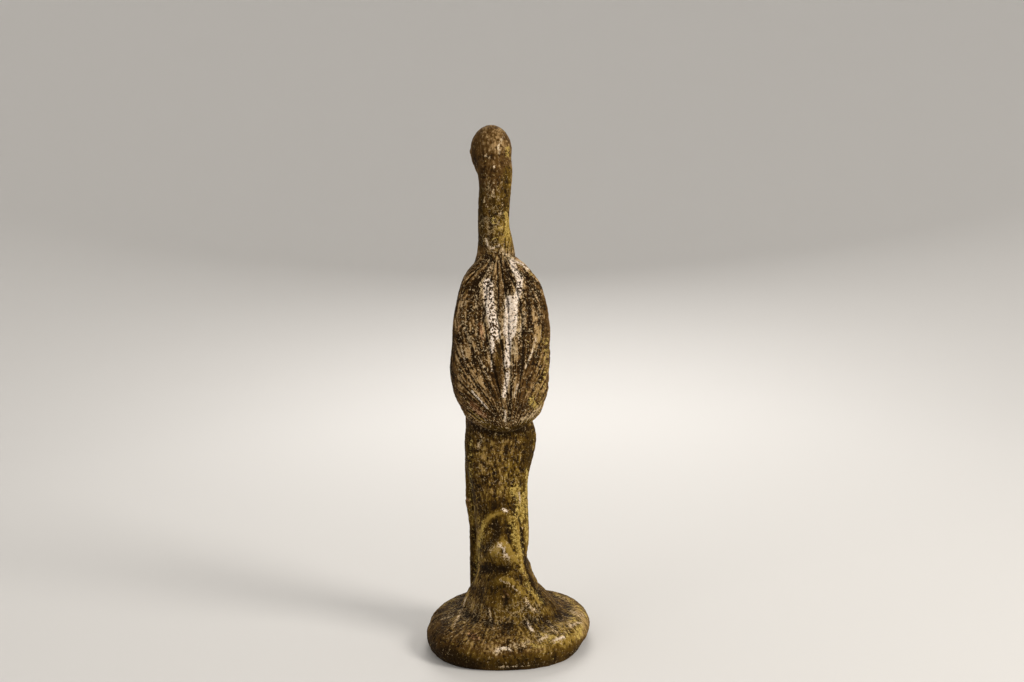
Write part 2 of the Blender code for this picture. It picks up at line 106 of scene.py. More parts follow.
# The photograph's camera: picture and focal length in pixels, angles in radians, place in metres
FRAME = (1024, 682)
FOCAL = 1400.0
PITCH = math.radians(7.6)
ROLL = math.radians(2.0)
CAMERA = np.array([0.4027 - FIGURE_ASIDE, 1.9895 - FIGURE_AHEAD, 0.7164])
HEADING = np.array([-0.208, -0.978, 0.0]) / math.hypot(0.208, 0.978)
UP = np.array([0, 0, 1.0])
AHEAD = math.cos(PITCH) * HEADING - math.sin(PITCH) * UP

NAME = "heron_statue_casting"


def smooth_rows(rows, count):
    """The rows as a smooth curve through them, at even steps of their index."""
    rows = np.array(rows, float)
    slope = np.gradient(rows, axis=0)
    at = np.linspace(0, len(rows) - 1, count)
    low = np.minimum(at.astype(int), len(rows) - 2)
    f = (at - low)[:, None]
    return (
        rows[low] * (1 + 2 * f) * (1 - f) ** 2
        + slope[low] * f * (1 - f) ** 2
        + rows[low + 1] * (3 - 2 * f) * f**2
        - slope[low + 1] * (1 - f) * f**2
    )


def ease(low, high, value):
    """0 below low, 1 above high, smooth between."""
    t = np.clip((value - low) / (high - low), 0, 1)
    return t * t * (3 - 2 * t)


def ring(squareness):
    """Unit ring: cosine and sine of each point, squared off by the exponent."""
    turn = np.arange(RING_POINTS) * 2 * math.pi / RING_POINTS
    c, s = np.cos(turn), np.sin(turn)
    power = 2 / squareness
    return np.sign(c) * np.abs(c) ** power, np.sign(s) * np.abs(s) ** power


def loft(rings):
    """A closed mesh over a stack of rings."""
    mesh = bmesh.new()
    loops = [[mesh.verts.new(point) for point in points] for points in rings]
    for low, high in zip(loops, loops[1:]):
        for i in range(RING_POINTS):
            j = (i + 1) % RING_POINTS
            mesh.faces.new((low[i], low[j], high[j], high[i]))
    mesh.faces.new(loops[0][::-1])
    mesh.faces.new(loops[-1])
    bmesh.ops.recalc_face_normals(mesh, faces=mesh.faces)
    return mesh


def stack(rows, squareness=2.1, count=48):
    """A mass of level rings. Rows: z, middle x, half width, y of the front, waist and back."""
    c, s = ring(squareness)
    rings = []
    for z, middle, half, front, waist, back in smooth_rows(rows, count):
        depth = np.where(s > 0, back - waist, waist - front)
        x = middle + half * c
        y = waist + depth * s
        rings.append(np.column_stack([x, y, np.full(RING_POINTS, z)]))
    return loft(rings)


def tube(rows, squareness=2.0, count=32):
    """A mass of rings across a bent spine. Rows: x, y, z, half width, half depth."""
    rows = smooth_rows(rows, count)
    spine = rows[:, :3]
    along = np.gradient(spine, axis=0)
    along /= np.linalg.norm(along, axis=1)[:, None]
    side = np.array([1.0, 0.0, 0.0]) - along[:, :1] * along
    side /= np.linalg.norm(side, axis=1)[:, None]
    across = np.cross(along, side)
    c, s = ring(squareness)
    rings = [
        spine[i] + np.outer(c * rows[i, 3], side[i]) + np.outer(s * rows[i, 4], across[i])
        for i in range(count)
    ]
    return loft(rings)


def egg(centre, halves, nod):
    """An ellipsoid, turned nose down by nod radians."""
    mesh = bmesh.new()
    place = Matrix.Translation(centre) @ Matrix.Rotation(nod, 4, "X") @ Matrix.Diagonal((*halves, 1.0))
    bmesh.ops.create_uvsphere(mesh, u_segments=48, v_segments=32, radius=1.0, matrix=place)
    return mesh


def base():
    """The oval base: a low bun, its rim rounded over and its top rising towards the figure."""
    dip = np.array([-0.74, -0.67])
    profile = (  # height over the rim's height, reach over the half width
        (-SINK / RIM_HEIGHT, 0.930),
        (0.00, 0.945),
        (0.18, 0.982),
        (0.42, 1.000),
        (0.68, 0.990),
        (0.92, 0.945),
        (1.10, 0.865),
        (1.23, 0.760),
        (1.33, 0.640),
        (1.42, 0.520),
        (1.58, 0.400),
    )
    c, s = ring(2.3)
    cosine, sine = math.cos(BASE_TURN), math.sin(BASE_TURN)
    turn = np.array([[cosine, sine], [-sine, cosine]])
    rings = []
    for up, reach in smooth_rows(profile, 40):
        flat = np.column_stack([c * BASE_WIDTH, s * BASE_LENGTH]) / 2 * reach @ turn
        sunk = RIM_DIP * ease(0.6, 1.0, flat @ dip / np.linalg.norm(flat, axis=1))
        flat += (FIGURE_ASIDE, FIGURE_AHEAD)
        rings.append(np.column_stack([flat, up * RIM_HEIGHT * (1 - sunk)]))
    return loft(rings)


def support():
    """The trunk that carries the body. Behind, it sweeps out into the base like a cloak."""
    half = SUPPORT_WIDTH / 2
    rows = [  # share of the height; middle, width, front, waist and back as shares of the half width
        (0.046, 0.05, 2.10, -1.75, 0.45, 2.78),
        (0.070, 0.05, 1.75, -1.50, 0.38, 2.60),
        (0.092, 0.10, 1.47, -1.28, 0.32, 2.46),
        (0.113, 0.15, 1.15, -1.12, 0.26, 2.30),
        (0.140, 0.17, 0.94, -1.00, 0.20, 2.06),
        (0.172, 0.19, 0.88, -0.92, 0.12, 1.82),
        (0.205, 0.188, 0.91, -0.87, 0.06, 1.52),
        (0.238, 0.17, 0.94, -0.85, 0.02, 1.22),
        (0.270, 0.183, 0.963, -0.85, 0.00, 1.06),
        (0.312, 0.205, 1.05, -0.86, 0.00, 0.99),
        (0.343, 0.155, 1.215, -0.88, 0.00, 0.97),
        (0.375, 0.085, 1.30, -0.94, 0.00, 0.97),
        (0.400, 0.055, 1.33, -1.02, 0.00, 0.99),
        (0.430, 0.05, 1.215, -1.16, 0.00, 1.04),
        (0.460, 0.06, 1.08, -1.26, 0.00, 1.06),
        (0.490, 0.04, 0.86, -1.06, 0.00, 0.84),
    ]
    return stack([(row[0] * HEIGHT, *(share * half for share in row[1:])) for row in rows], squareness=2.3)


def body():
    """The upright egg of breast, belly and folded wings, ending behind in the wing tips."""
    half = BODY_WIDTH / 2
    rows = [  # share of the height; middle and width over half width; front, waist, back over reach
        (0.4235, 0.06, 0.12, 0.52, 0.66, 0.80),
        (0.4305, 0.06, 0.42, 0.08, 0.36, 0.92),
        (0.4400, 0.055, 0.625, -0.30, 0.30, 0.975),
        (0.4530, 0.032, 0.767, -0.52, 0.27, 1.0),
        (0.4720, 0.028, 0.862, -0.68, 0.25, 1.0),
        (0.4920, 0.026, 0.955, -0.79, 0.23, 0.975),
        (0.5290, 0.027, 1.005, -0.91, 0.22, 0.895),
        (0.5640, -0.008, 1.005, -0.975, 0.21, 0.795),
        (0.5990, -0.046, 0.990, -1.0, 0.20, 0.680),
        (0.6320, -0.061, 0.965, -0.99, 0.19, 0.560),
        (0.6620, -0.080, 0.908, -0.94, 0.17, 0.450),
        (0.6880, -0.086, 0.836, -0.86, 0.14, 0.355),
        (0.7090, -0.058, 0.720, -0.78, 0.10, 0.285),
        (0.7270, -0.054, 0.582, -0.68, 0.04, 0.225),
        (0.7450, -0.052, 0.415, -0.54, 0.0, 0.165),
        (0.7600, -0.02, 0.24, -0.36, 0.0, 0.12),
    ]

    def reach(share):
        return share * (BACK_REACH if share > 0 else BREAST_REACH)

    rings = [
        (z * HEIGHT, m * half, w * half, reach(front), reach(waist), reach(back))
        for z, m, w, front, waist, back in rows
    ]
    return stack(rings, squareness=2.1, count=64)


def neck():
    """The thick neck: out of the breast, up, and bowed forward into the head."""
    half = NECK_WIDTH / 2
    rows = [  # middle x and y over the half width, share of the height, width and depth over it
        (-0.10, -1.20, 0.690, 1.30, 1.50),
        (-0.09, -0.84, 0.724, 1.26, 1.34),
        (-0.15, -0.56, 0.752, 1.20, 1.18),
        (-0.10, -0.37, 0.780, 1.07, 1.08),
        (-0.01, -0.19, 0.810, 0.985, 1.00),
        (-0.06, -0.08, 0.848, 0.985, 0.97),
        (-0.18, -0.12, 0.884, 1.01, 0.98),
        (-0.25, -0.40, 0.914, 1.09, 1.03),
        (-0.26, -0.90, 0.938, 1.13, 1.08),
    ]
    return tube([(x * half, y * half, z * HEIGHT, w * half, d * half) for x, y, z, w, d in rows])


def head():
    """The bowed head, its bill laid down on the breast, and the web of stone behind the bill."""
    half = HEAD_WIDTH / 2
    bill = BILL_WIDTH / 2
    middle = -0.19 * half
    crown = egg((middle, -1.05 * half, HEIGHT - 1.235 * half), (half, 1.36 * half, 1.215 * half), 0.35)
    jaw = tube(
        [
            (middle, -1.00 * half, 0.954 * HEIGHT, 0.97 * half, 1.10 * half),
            (middle, -1.42 * half, 0.924 * HEIGHT, 0.80 * half, 0.90 * half),
            (middle, -1.74 * half, 0.900 * HEIGHT, 1.34 * bill, 1.46 * bill),
            (middle, -1.98 * half, 0.872 * HEIGHT, 0.92 * bill, 1.06 * bill),
            (middle * 0.7, -2.20 * half, 0.824 * HEIGHT, 0.68 * bill, 0.80 * bill),
            (middle * 0.4, -2.33 * half, 0.776 * HEIGHT, 0.50 * bill, 0.62 * bill),
            (middle * 0.2, -2.38 * half, 0.733 * HEIGHT, 0.36 * bill, 0.46 * bill),
        ],
        count=40,
    )
    web = tube(
        [
            (middle * 0.2, -1.60 * half, 0.720 * HEIGHT, 0.95 * bill, 1.80 * bill),
            (middle * 0.4, -1.42 * half, 0.776 * HEIGHT, 0.75 * bill, 1.75 * bill),
            (middle * 0.7, -1.24 * half, 0.824 * HEIGHT, 0.62 * bill, 1.70 * bill),
            (middle, -1.16 * half, 0.870 * HEIGHT, 0.75 * bill, 1.70 * bill),
            (middle, -1.20 * half, 0.912 * HEIGHT, 0.95 * bill, 1.60 * bill),
        ],
        count=24,
    )
    return [crown, jaw, web]


def leg(side):
    """One leg in high relief on the trunk: feathered thigh, shin, knee and three toes ahead."""
    r = LEG_RADIUS
    out = side * LEG_SPREAD / 2
    shin = [  # spread, y over the radius, share of the height, half width and depth over the radius
        (0.50, -2.4, 0.500, 2.30, 3.00),
        (0.62, -3.2, 0.445, 2.10, 2.60),
        (0.76, -3.5, 0.395, 1.75, 2.00),
        (0.97, -3.4, 0.345, 1.35, 1.25),
        (1.03, -3.4, 0.300, 1.10, 1.05),
        (1.00, -3.4, 0.263, 1.26, 1.32),
        (1.00, -3.4, 0.225, 0.98, 1.00),
        (1.00, -3.8, 0.150, 0.95, 1.00),
        (1.00, -4.6, 0.095, 1.00, 1.10),
        (0.97, -5.2, 0.055, 1.00, 1.20),
    ]
    parts = [
        tube([(LEG_LEAN + out * s, y * r, z * HEIGHT, w * r, d * r) for s, y, z, w, d in shin], count=48)
    ]
    toe = [  # share of the length, share of the height, half width and depth over the radius
        (0.00, 0.064, 0.84, 0.84),
        (0.40, 0.062, 0.74, 0.74),
        (0.76, 0.057, 0.66, 0.64),
        (1.00, 0.050, 0.42, 0.42),
    ]
    for turn in (-0.42, 0.0, 0.42):
        dx = math.sin(turn) * TOE_LENGTH
        dy = -math.cos(turn) * TOE_LENGTH
        rows = [
            (LEG_LEAN + out + dx * t, -5.0 * r + dy * t, z * HEIGHT, w * r, d * r) for t, z, w, d in toe
        ]
        parts.append(tube(rows, count=18))
    return parts


def modified(mesh, *steps):
    """A new mesh: this one after the given modifiers."""
    carrier = bpy.data.objects.new("carrier", mesh)
    bpy.context.scene.collection.objects.link(carrier)
    for kind, settings in steps:
        modifier = carrier.modifiers.new(kind, kind)
        for key, value in settings.items():
            setattr(modifier, key, value)
    graph = bpy.context.evaluated_depsgraph_get()
    made = bpy.data.meshes.new_from_object(carrier.evaluated_get(graph))
    bpy.data.objects.remove(carrier)
    bpy.data.meshes.remove(mesh)
    return made


def fused(parts):
    """The masses as one skin, by a voxel remesh that drops what lies inside."""
    whole = bmesh.new()
    for part in parts:
        copy = bpy.data.meshes.new("mass")
        part.to_mesh(copy)
        part.free()
        whole.from_mesh(copy)
        bpy.data.meshes.remove(copy)
    mesh = bpy.data.meshes.new(NAME)
    whole.to_mesh(mesh)
    whole.free()
    remesh = ("REMESH", {"mode": "VOXEL", "voxel_size": VOXEL, "adaptivity": 0.0})
    smooth = ("SMOOTH", {"factor": 0.5, "iterations": SMOOTHING_STEPS})
    return modified(mesh, remesh, smooth)


def points_of(mesh, what):
    """Each point's place ("co") or normal ("normal") as rows of an array."""
    values = np.empty(len(mesh.vertices) * 3)
    mesh.vertices.foreach_get(what, values)
    return values.reshape(-1, 3)


def blended(mesh):
    """Eases the seams where the masses run into each other, and gives them back as one mass."""
    seams = (  # shares of the height from which and to which it acts, farthest y ahead, radius
        (0.046, 0.066, 0.135, 0.170, -1.0, FOOT_BLEND),
        (0.850, 0.880, 0.925, 0.960, -0.014, NAPE_BLEND),
    )
    for low, full, fade, high, ahead, radius in seams:
        p = points_of(mesh, "co")
        steps = round(2 * (radius / VOXEL) ** 2)
        smooth = modified(mesh.copy(), ("SMOOTH", {"factor": 0.5, "iterations": steps}))
        z = p[:, 2] / HEIGHT
        weight = ease(low, full, z) * (1 - ease(fade, high, z)) * ease(ahead, ahead + radius, p[:, 1])
        moved = p + weight[:, None] * (points_of(smooth, "co") - p)
        bpy.data.meshes.remove(smooth)
        mesh.vertices.foreach_set("co", moved.ravel())
    mass = bmesh.new()
    mass.from_mesh(mesh)
    bpy.data.meshes.remove(mesh)
    return mass


def bell(far, width):
    """1 at no distance, falling off like a bell."""
    return np.exp(-((far / width) ** 2))


def near(points, route):
    """Distance from each point to a polyline."""
    route = np.array(route, float)
    best = np.full(len(points), np.inf)
    for a, b in zip(route, route[1:]):
        ab = b - a
        t = np.clip((points - a) @ ab / (ab @ ab), 0, 1)
        best = np.minimum(best, np.linalg.norm(points - a - t[:, None] * ab, axis=1))
    return best


def wing_place(p):
    """How far up the wings each point lies, from 0 at their tips, and its angle from the spine."""
    t = (p[:, 2] / HEIGHT - 0.418) / (0.750 - 0.418)
    spine = 0.003 - 0.006 * np.clip(t, 0, 1)
    waist = -0.004 - 0.012 * np.clip(t, 0, 1)
    angle = np.arctan2(p[:, 0] - spine, p[:, 1] - waist)
    return t, angle


def wing_edge(t):
    """Angle of the wing's front edge from the spine, at each height."""
    levels, degrees = (-0.02, 0.10, 0.30, 0.55, 0.82, 0.93, 1.0), (74, 92, 112, 112, 100, 84, 60)
    return np.radians(np.interp(t, levels, degrees))


def on_body(p, t):
    """1 on the body, 0 on the neck and on the trunk below the wing tips."""
    hem = 0.080 - 0.10 * np.clip(p[:, 1] / BACK_REACH, -0.2, 1.0)
    return ease(hem, hem + 0.05, t) * (1 - ease(0.93, 1.02, t))


def feather_rows(t, off):
    """Counts the feathers outward from the spine, along lines that fan out below the neck and sweep
    round the wing to meet again at the tail."""
    fan = 0.02 + ease(-0.05, 0.75, t) * (1 - 0.6 * ease(0.80, 1.02, t))
    return FEATHERS * (np.log2(1 + off / (math.pi / 2) / fan) - 0.11)


def shingles(across, along):
    """Height of overlapping hanging locks, each two rows long and staggered by half a width."""
    best = np.zeros(len(across))
    for back in (0, 1):
        row = np.floor(along) - back
        shifted = across + 0.5 * np.mod(row, 2)
        off = 2 * np.abs(shifted - np.floor(shifted) - 0.5)
        down = (along - row) / 2
        inside = off < np.sqrt(np.clip(1 - down**2.5, 0, 1))
        best = np.maximum(best, np.where(inside, (0.30 + 0.70 * down) * (1 - 0.55 * off**2), 0))
    return best


def plumes(p):
    """Hanging plumes on the breast and belly."""
    t, angle = wing_place(p)
    turned = np.mod(angle, 2 * math.pi) - math.pi
    front = ease(wing_edge(t) + 0.04, wing_edge(t) + 0.22, np.abs(angle))
    locks = shingles(turned * 4.2 / (0.35 + 0.65 * np.clip(1.6 - t, 0, 1)), (0.60 - p[:, 2]) / PLUME_LENGTH)
    return on_body(p, t) * front * (locks - 0.45) * PLUME_DEPTH


def flutes(p):
    """Faint upright flutes on the trunk."""
    z = p[:, 2] / HEIGHT
    angle = np.arctan2(p[:, 0] - LEG_LEAN, p[:, 1])
    level = ease(0.12, 0.20, z) * (1 - ease(0.40, 0.43, z))
    wave = np.sin(angle * 11 + 1.9 * np.sin(z * 27)) + 0.7 * np.sin(angle * 19 + 2.6 * np.sin(z * 17))
    return level * wave * FLUTE_DEPTH * 0.6


def roots(p):
    """Radial folds on the top of the base, running out from the foot of the trunk."""
    x, y = p[:, 0] - LEG_LEAN, p[:, 1] - FIGURE_AHEAD
    reach = np.hypot(x, y)
    angle = np.arctan2(x, y)
    level = ease(0.055, 0.080, reach) * (1 - ease(0.095, 0.125, reach))
    level = level * ease(0.5, 0.9, p[:, 2] / RIM_HEIGHT) * (1 - ease(0.09, 0.13, p[:, 2] / HEIGHT))
    wave = np.sin(angle * 11 + 90 * reach) + 0.7 * np.sin(angle * 19 - 55 * reach)
    return level * wave * ROOT_DEPTH * 0.5


def rim(p):
    """On the base at the bird's right: a raised lip, a shallow trough inside it, a broken lower edge."""
    c, s = math.cos(BASE_TURN), math.sin(BASE_TURN)
    flat = p[:, :2] - (FIGURE_ASIDE, FIGURE_AHEAD)
    side = ease(0.1, 0.8, -flat[:, 0] / (1e-6 + np.linalg.norm(flat, axis=1)))
    oval = flat @ np.array([[c, -s], [s, c]]) / (BASE_WIDTH / 2, BASE_LENGTH / 2)
    reach = np.linalg.norm(oval, axis=1)
    up = p[:, 2] / RIM_HEIGHT
    top = ease(0.7, 1.0, up) * (1 - ease(0.09, 0.13, p[:, 2] / HEIGHT))
    broken = bell(np.arctan2(oval[:, 1], -oval[:, 0]) - 0.26, 0.34) * (1 - ease(0.12, 0.56, up))
    lip = RIM_LIP * bell(reach - 0.88, 0.06) - RIM_TROUGH * bell(reach - 0.74, 0.08)
    return side * top * lip - RIM_BREAK * broken * ease(0.6, 0.8, reach)


def rockwork(p):
    """Three pointed ledges stepping down the back of the trunk, a reed beside them, and hollows."""
    across = p[:, 0] * math.cos(VIEW_TURN) - p[:, 1] * math.sin(VIEW_TURN)
    flat = np.column_stack([across, p[:, 2]]) / HEIGHT
    behind = ease(-0.004, 0.016, p[:, 1])
    ridges = (  # route as across and up over the height, half width, height over the lip's
        (((0.066, 0.145), (0.056, 0.190), (0.044, 0.230), (0.026, 0.258), (0.008, 0.267),
          (-0.010, 0.259), (-0.021, 0.243), (-0.025, 0.215), (-0.029, 0.180), (-0.038, 0.152),
          (-0.056, 0.120)), 0.0052, 1.0),
        (((0.066, 0.124), (0.054, 0.158), (0.040, 0.181), (0.022, 0.199), (0.005, 0.207), (-0.009, 0.194),
          (-0.021, 0.170), (-0.036, 0.145)), 0.0060, 1.1),
        (((0.038, 0.106), (0.033, 0.126), (0.020, 0.140), (0.006, 0.147), (-0.012, 0.141), (-0.028, 0.126),
          (-0.045, 0.105)), 0.0062, 1.15),
        (((-0.040, 0.330), (-0.040, 0.295), (-0.042, 0.230), (-0.047, 0.185), (-0.058, 0.142),
          (-0.078, 0.116), (-0.105, 0.094)), 0.0048, 1.1),
        (((-0.029, 0.250), (-0.033, 0.212), (-0.038, 0.178), (-0.048, 0.146), (-0.068, 0.116)),
         0.0026, -0.9),
    )
    made = np.zeros(len(p))
    for route, half, up in ridges:
        route = smooth_rows(route, 3 * len(route))
        made += up * LEDGE_LIP * bell(near(flat, route) * HEIGHT, half)
    hollows = (  # across and up over the height, half width and half height, depth over the hollow's
        (0.010, 0.164, 0.015, 0.0085, 1.00),
        (0.040, 0.154, 0.012, 0.0080, 0.55),
        (0.006, 0.113, 0.0095, 0.0130, 0.95),
        (0.022, 0.233, 0.016, 0.0120, 0.45),
        (-0.008, 0.226, 0.011, 0.0130, 0.30),
    )
    for x, z, wide, tall, depth in hollows:
        far = np.hypot((flat[:, 0] - x) * HEIGHT / wide, (flat[:, 1] - z) * HEIGHT / tall)
        made -= depth * LEDGE_HOLLOW * bell(far, 1.0)
    return behind * made


def face(p):
    """Eyes in shallow sockets and the line of the closed bill."""
    half = HEAD_WIDTH / 2
    middle = -0.19 * half
    made = np.zeros(len(p))
    for side in (-1, 1):
        eye = np.array([middle + side * 0.84 * half, -1.58 * half, HEIGHT - 1.25 * half])
        far = np.linalg.norm(p - eye, axis=1)
        made += 0.0015 * bell(far, 0.0040) - 0.0014 * bell(far - 0.0080, 0.0028)
        mouth = [
            (middle + side * 0.70 * half, -1.62 * half, 0.907 * HEIGHT),
            (middle + side * 0.92 * BILL_WIDTH / 2, -2.02 * half, 0.868 * HEIGHT),
            (middle * 0.4 + side * 0.50 * BILL_WIDTH / 2, -2.33 * half, 0.776 * HEIGHT),
        ]
        made -= 0.0016 * bell(near(p, mouth), 0.0024)
    return made


def feathers(p):
    """The wings: a lifted edge, a smooth band inside it, overlapping feathers worn unevenly, and barbs."""
    t, angle = wing_place(p)
    edge = wing_edge(t)
    off = np.abs(angle)
    wing = 1 - ease(edge - 0.07, edge, off)
    wander = 0.34 * (noise(p * (45, 45, 18), 5) - 0.5) + 0.16 * (noise(p * (170, 170, 60), 6) - 0.5)
    row = feather_rows(t, off) + wander
    part_row = row - np.floor(row)
    ridge = np.sin(math.pi / 2 * np.minimum(part_row / 0.70, (1 - part_row) / 0.30))
    mantle = 1 - ease(0.9, 1.1, row)
    band = ease(edge - 0.60, edge - 0.48, off) * ease(0.40, 0.60, t)
    worn = 0.55 + 0.75 * noise(p * (36, 36, 20), 12)
    tail = 0.40 + 0.60 * ease(0.08, 0.34, t)
    carved = (ridge * worn * (0.85 + 0.35 * mantle) * (1 - band) + 0.95 * band - 1) * tail
    rim_groove = -0.9 * bell((off - edge + 0.56) * 0.065, 0.0022) * ease(0.40, 0.60, t)
    lifted = WING_LIFT + FEATHER_DEPTH * (carved + rim_groove)
    spine = -SPINE_GROOVE * (1 - ease(-0.25, 0.35, row)) * ease(0.04, 0.20, t)
    barbs = BARB_DEPTH * np.sin(2 * math.pi * row * 2.6) * ease(0.30, 0.75, noise(p * (60, 60, 25), 8))
    lifted = lifted + spine * (1 - 0.6 * ease(0.75, 0.95, t)) + barbs * (1 - 0.8 * band)
    return on_body(p, t) * wing * lifted


LATTICE = np.random.RandomState(LATTICE_SEED).rand(LATTICE_SIZE, LATTICE_SIZE, LATTICE_SIZE)


def noise(p, shift=0):
    """Smooth noise from 0 to 1; one unit of p is one cell."""
    p = p + shift * SHIFT_STEP
    cell = np.floor(p).astype(int)
    f = p - cell
    f = f * f * (3 - 2 * f)
    made = np.zeros(len(p))
    for dx in (0, 1):
        for dy in (0, 1):
            for dz in (0, 1):
                corner = LATTICE[tuple((cell + (dx, dy, dz)).T % LATTICE_SIZE)]
                weight = np.abs(1 - dx - f[:, 0]) * np.abs(1 - dy - f[:, 1]) * np.abs(1 - dz - f[:, 2])
                made += corner * weight
    return made


def cloud(p, scale, layers, shift):
    """Several layers of noise, each twice as fine and half as strong, about 0 to 1."""
    made, total = 0, 0
    for i in range(layers):
        made = made + noise(p * scale * 2**i, shift + i) / 2**i
        total += 1 / 2**i
    return made / total


def round_trunk(p):
    """Each point's angle round the legs' middle, and its distance from it."""
    x, y = p[:, 0] - LEG_LEAN, p[:, 1] - FIGURE_AHEAD
    return np.arctan2(x, y), np.hypot(x, y)


def cast(p):
    """The cast surface: soft lumps, a fine grain, pits, the trunk's stipple and the base's streaks."""
    z = p[:, 2] / HEIGHT
    lumps = (cloud(p, 48, 2, 1) - 0.5) * 1.5
    grain = (cloud(p, 230, 3, 4) - 0.5) * 1.9
    pits = -ease(0.64, 0.80, cloud(p, 190, 2, 9)) * PIT_DEPTH
    trunk = ease(0.08, 0.16, z) * (1 - ease(0.40, 0.44, z))
    stipple = (cloud(p * (1.0, 1.0, 0.5), 330, 2, 13) - 0.5) * 2.0 * trunk
    turn, reach = round_trunk(p)
    radial = np.column_stack([np.cos(turn) * 10, np.sin(turn) * 10, reach * 34 + p[:, 2] * 30])
    low = (1 - ease(0.10, 0.20, z)) * ease(0.030, 0.060, reach)
    streaks = (0.6 * noise(radial, 17) + 0.4 * noise(radial * 2.3, 19) - 0.5) * 2.6 * low
    return CAST_ROUGHNESS * (lumps + grain + stipple + streaks) + pits - INSET


def carve(mesh):
    """Moves the skin along its normals by the carving and the cast surface."""
    p = points_of(mesh, "co")
    height = feathers(p) + plumes(p) + flutes(p) + roots(p) + rim(p) + rockwork(p) + face(p) + cast(p)
    mesh.vertices.foreach_set("co", (p + points_of(mesh, "normal") * height[:, None]).ravel())
    mesh.update()


def cut_flat(mesh):
    """Cuts the underside flat and closes the cut."""
    work = bmesh.new()
    work.from_mesh(mesh)
    bmesh.ops.bisect_plane(
        work,
        geom=[*work.verts, *work.edges, *work.faces],
        dist=CUT_REACH,
        plane_co=(0, 0, 0),
        plane_no=(0, 0, -1),
        clear_outer=True,
    )
    opening = [edge for edge in work.edges if edge.is_boundary]
    for vert in work.verts:
        if vert.is_boundary or vert.co.z < 0.0:
            vert.co.z = 0.0
    bmesh.ops.edgeloop_fill(work, edges=opening)
    bmesh.ops.triangulate(work, faces=[face for face in work.faces if len(face.verts) > 3])
    bmesh.ops.recalc_face_normals(work, faces=work.faces)
    work.to_mesh(mesh)
    work.free()


def seen_at(p):
    """Where the photograph shows each point, in its pixels."""
    right = np.cross(HEADING, UP)
    over = math.sin(PITCH) * HEADING + math.cos(PITCH) * UP
    d = p - (CAMERA + (FIGURE_ASIDE, FIGURE_AHEAD, 0))
    u = FOCAL * (d @ right) / (d @ AHEAD)
    v = -FOCAL * (d @ over) / (d @ AHEAD)
    x = FRAME[0] / 2 + u * math.cos(ROLL) + v * math.sin(ROLL)
    y = FRAME[1] / 2 - u * math.sin(ROLL) + v * math.cos(ROLL)
    return np.column_stack([x, y])


# Marks on the side that the photograph shows: half width, strength, then the route in its pixels
PALE = (  # worn to bare cement
    (3.4, 0.62, (491, 264), (488, 272), (489, 282)),
    (7.6, 1.0, (488, 283), (489, 300), (491.5, 316), (494, 326), (495.5, 335)),
    (4.0, 0.95, (492.5, 336), (492, 351)),
    (1.7, 0.75, (491.5, 350), (491.5, 371)),
    (4.6, 0.95, (512, 261), (514, 268), (518, 277)),
    (4.6, 1.0, (520, 277), (519, 290), (516, 299)),
    (7.6, 1.35, (511.5, 302), (511, 318), (509.5, 332)),
    (4.4, 1.05, (509, 334), (508.5, 347), (507.5, 354), (507, 365)),
    (2.6, 0.8, (508, 296), (507, 300)),
    (3.4, 0.95, (508, 372), (506, 385), (504, 396)),
    (2.2, 0.75, (505, 411), (505.5, 421)),
    (2.2, 0.38, (533, 288), (539, 302), (540, 322)),
    (2.4, 0.66, (526, 313), (521, 328), (518, 342)),
    (3.0, 0.60, (513, 345), (516, 354)),
    (1.3, 0.78, (536, 338), (532, 353), (525, 368)),
    (1.2, 0.75, (518, 384), (514, 397)),
    (2.8, 0.55, (540, 407), (532, 415), (522, 419)),
    (2.2, 0.40, (474, 290), (475, 300), (477, 312)),
    (2.4, 0.42, (464, 300), (460, 318)),
    (2.8, 0.56, (462, 322), (466, 332), (470, 342)),
    (1.4, 0.70, (462, 350), (465, 362)),
    (1.6, 0.56, (476, 320), (477, 350)),
    (2.2, 0.64, (480, 359), (485, 370), (489, 378)),
    (1.5, 0.90, (472, 391), (479, 399), (487, 408)),
    (1.6, 0.56, (482, 262), (489, 261), (493, 268)),
    (3.0, 0.74, (515, 262), (521, 263), (528, 269)),
    (1.7, 0.74, (486, 239), (488, 246), (492, 249), (499, 245)),
    (1.5, 0.66, (499, 246), (504, 253), (513, 259)),
    (1.8, 0.55, (493, 189), (493, 197)),
    (1.6, 0.55, (484, 200), (487, 207)),
    (1.6, 0.55, (502, 200), (503, 207)),
    (1.4, 0.66, (499, 214), (502, 213)),
    (2.0, 0.66, (503, 137), (498, 146), (500, 153)),
    (2.0, 0.62, (486, 156), (490, 158)),
    (1.2, 0.78, (494, 165), (494, 169)),
    (2.6, 0.55, (480, 441), (479, 447)),
    (2.0, 0.90, (503, 509), (507, 511)),
    (1.8, 0.66, (519, 492), (520, 501)),
    (3.4, 0.72, (500, 545), (504, 550), (507, 558)),
    (2.2, 0.52, (490, 551), (500, 544)),
    (1.6, 0.66, (500, 580), (509, 584), (519, 592)),
    (1.5, 0.60, (526, 598), (530, 605)),
    (2.8, 0.80, (527, 623), (532, 630)),
    (4.0, 0.72, (497, 651), (504, 647), (510, 650)),
    (3.4, 0.56, (514, 644), (520, 648), (527, 642)),
    (3.0, 0.62, (540, 640), (548, 636)),
    (2.8, 0.74, (554, 640), (564, 637)),
    (2.2, 0.66, (555, 597), (567, 599)),
    (2.8, 0.66, (571, 610), (583, 616)),
    (2.8, 0.66, (570, 626), (581, 622)),
    (1.0, 0.66, (500, 667), (525, 666)),
    (1.4, 0.62, (442, 619), (453, 616)),
    (1.4, 0.70, (466, 598), (461, 611), (454, 626)),
    (1.6, 0.60, (489, 608), (492, 628)),
    (1.6, 0.66, (526, 602), (532, 609), (538, 611)),
    (2.0, 0.56, (548, 622), (556, 632)),
)
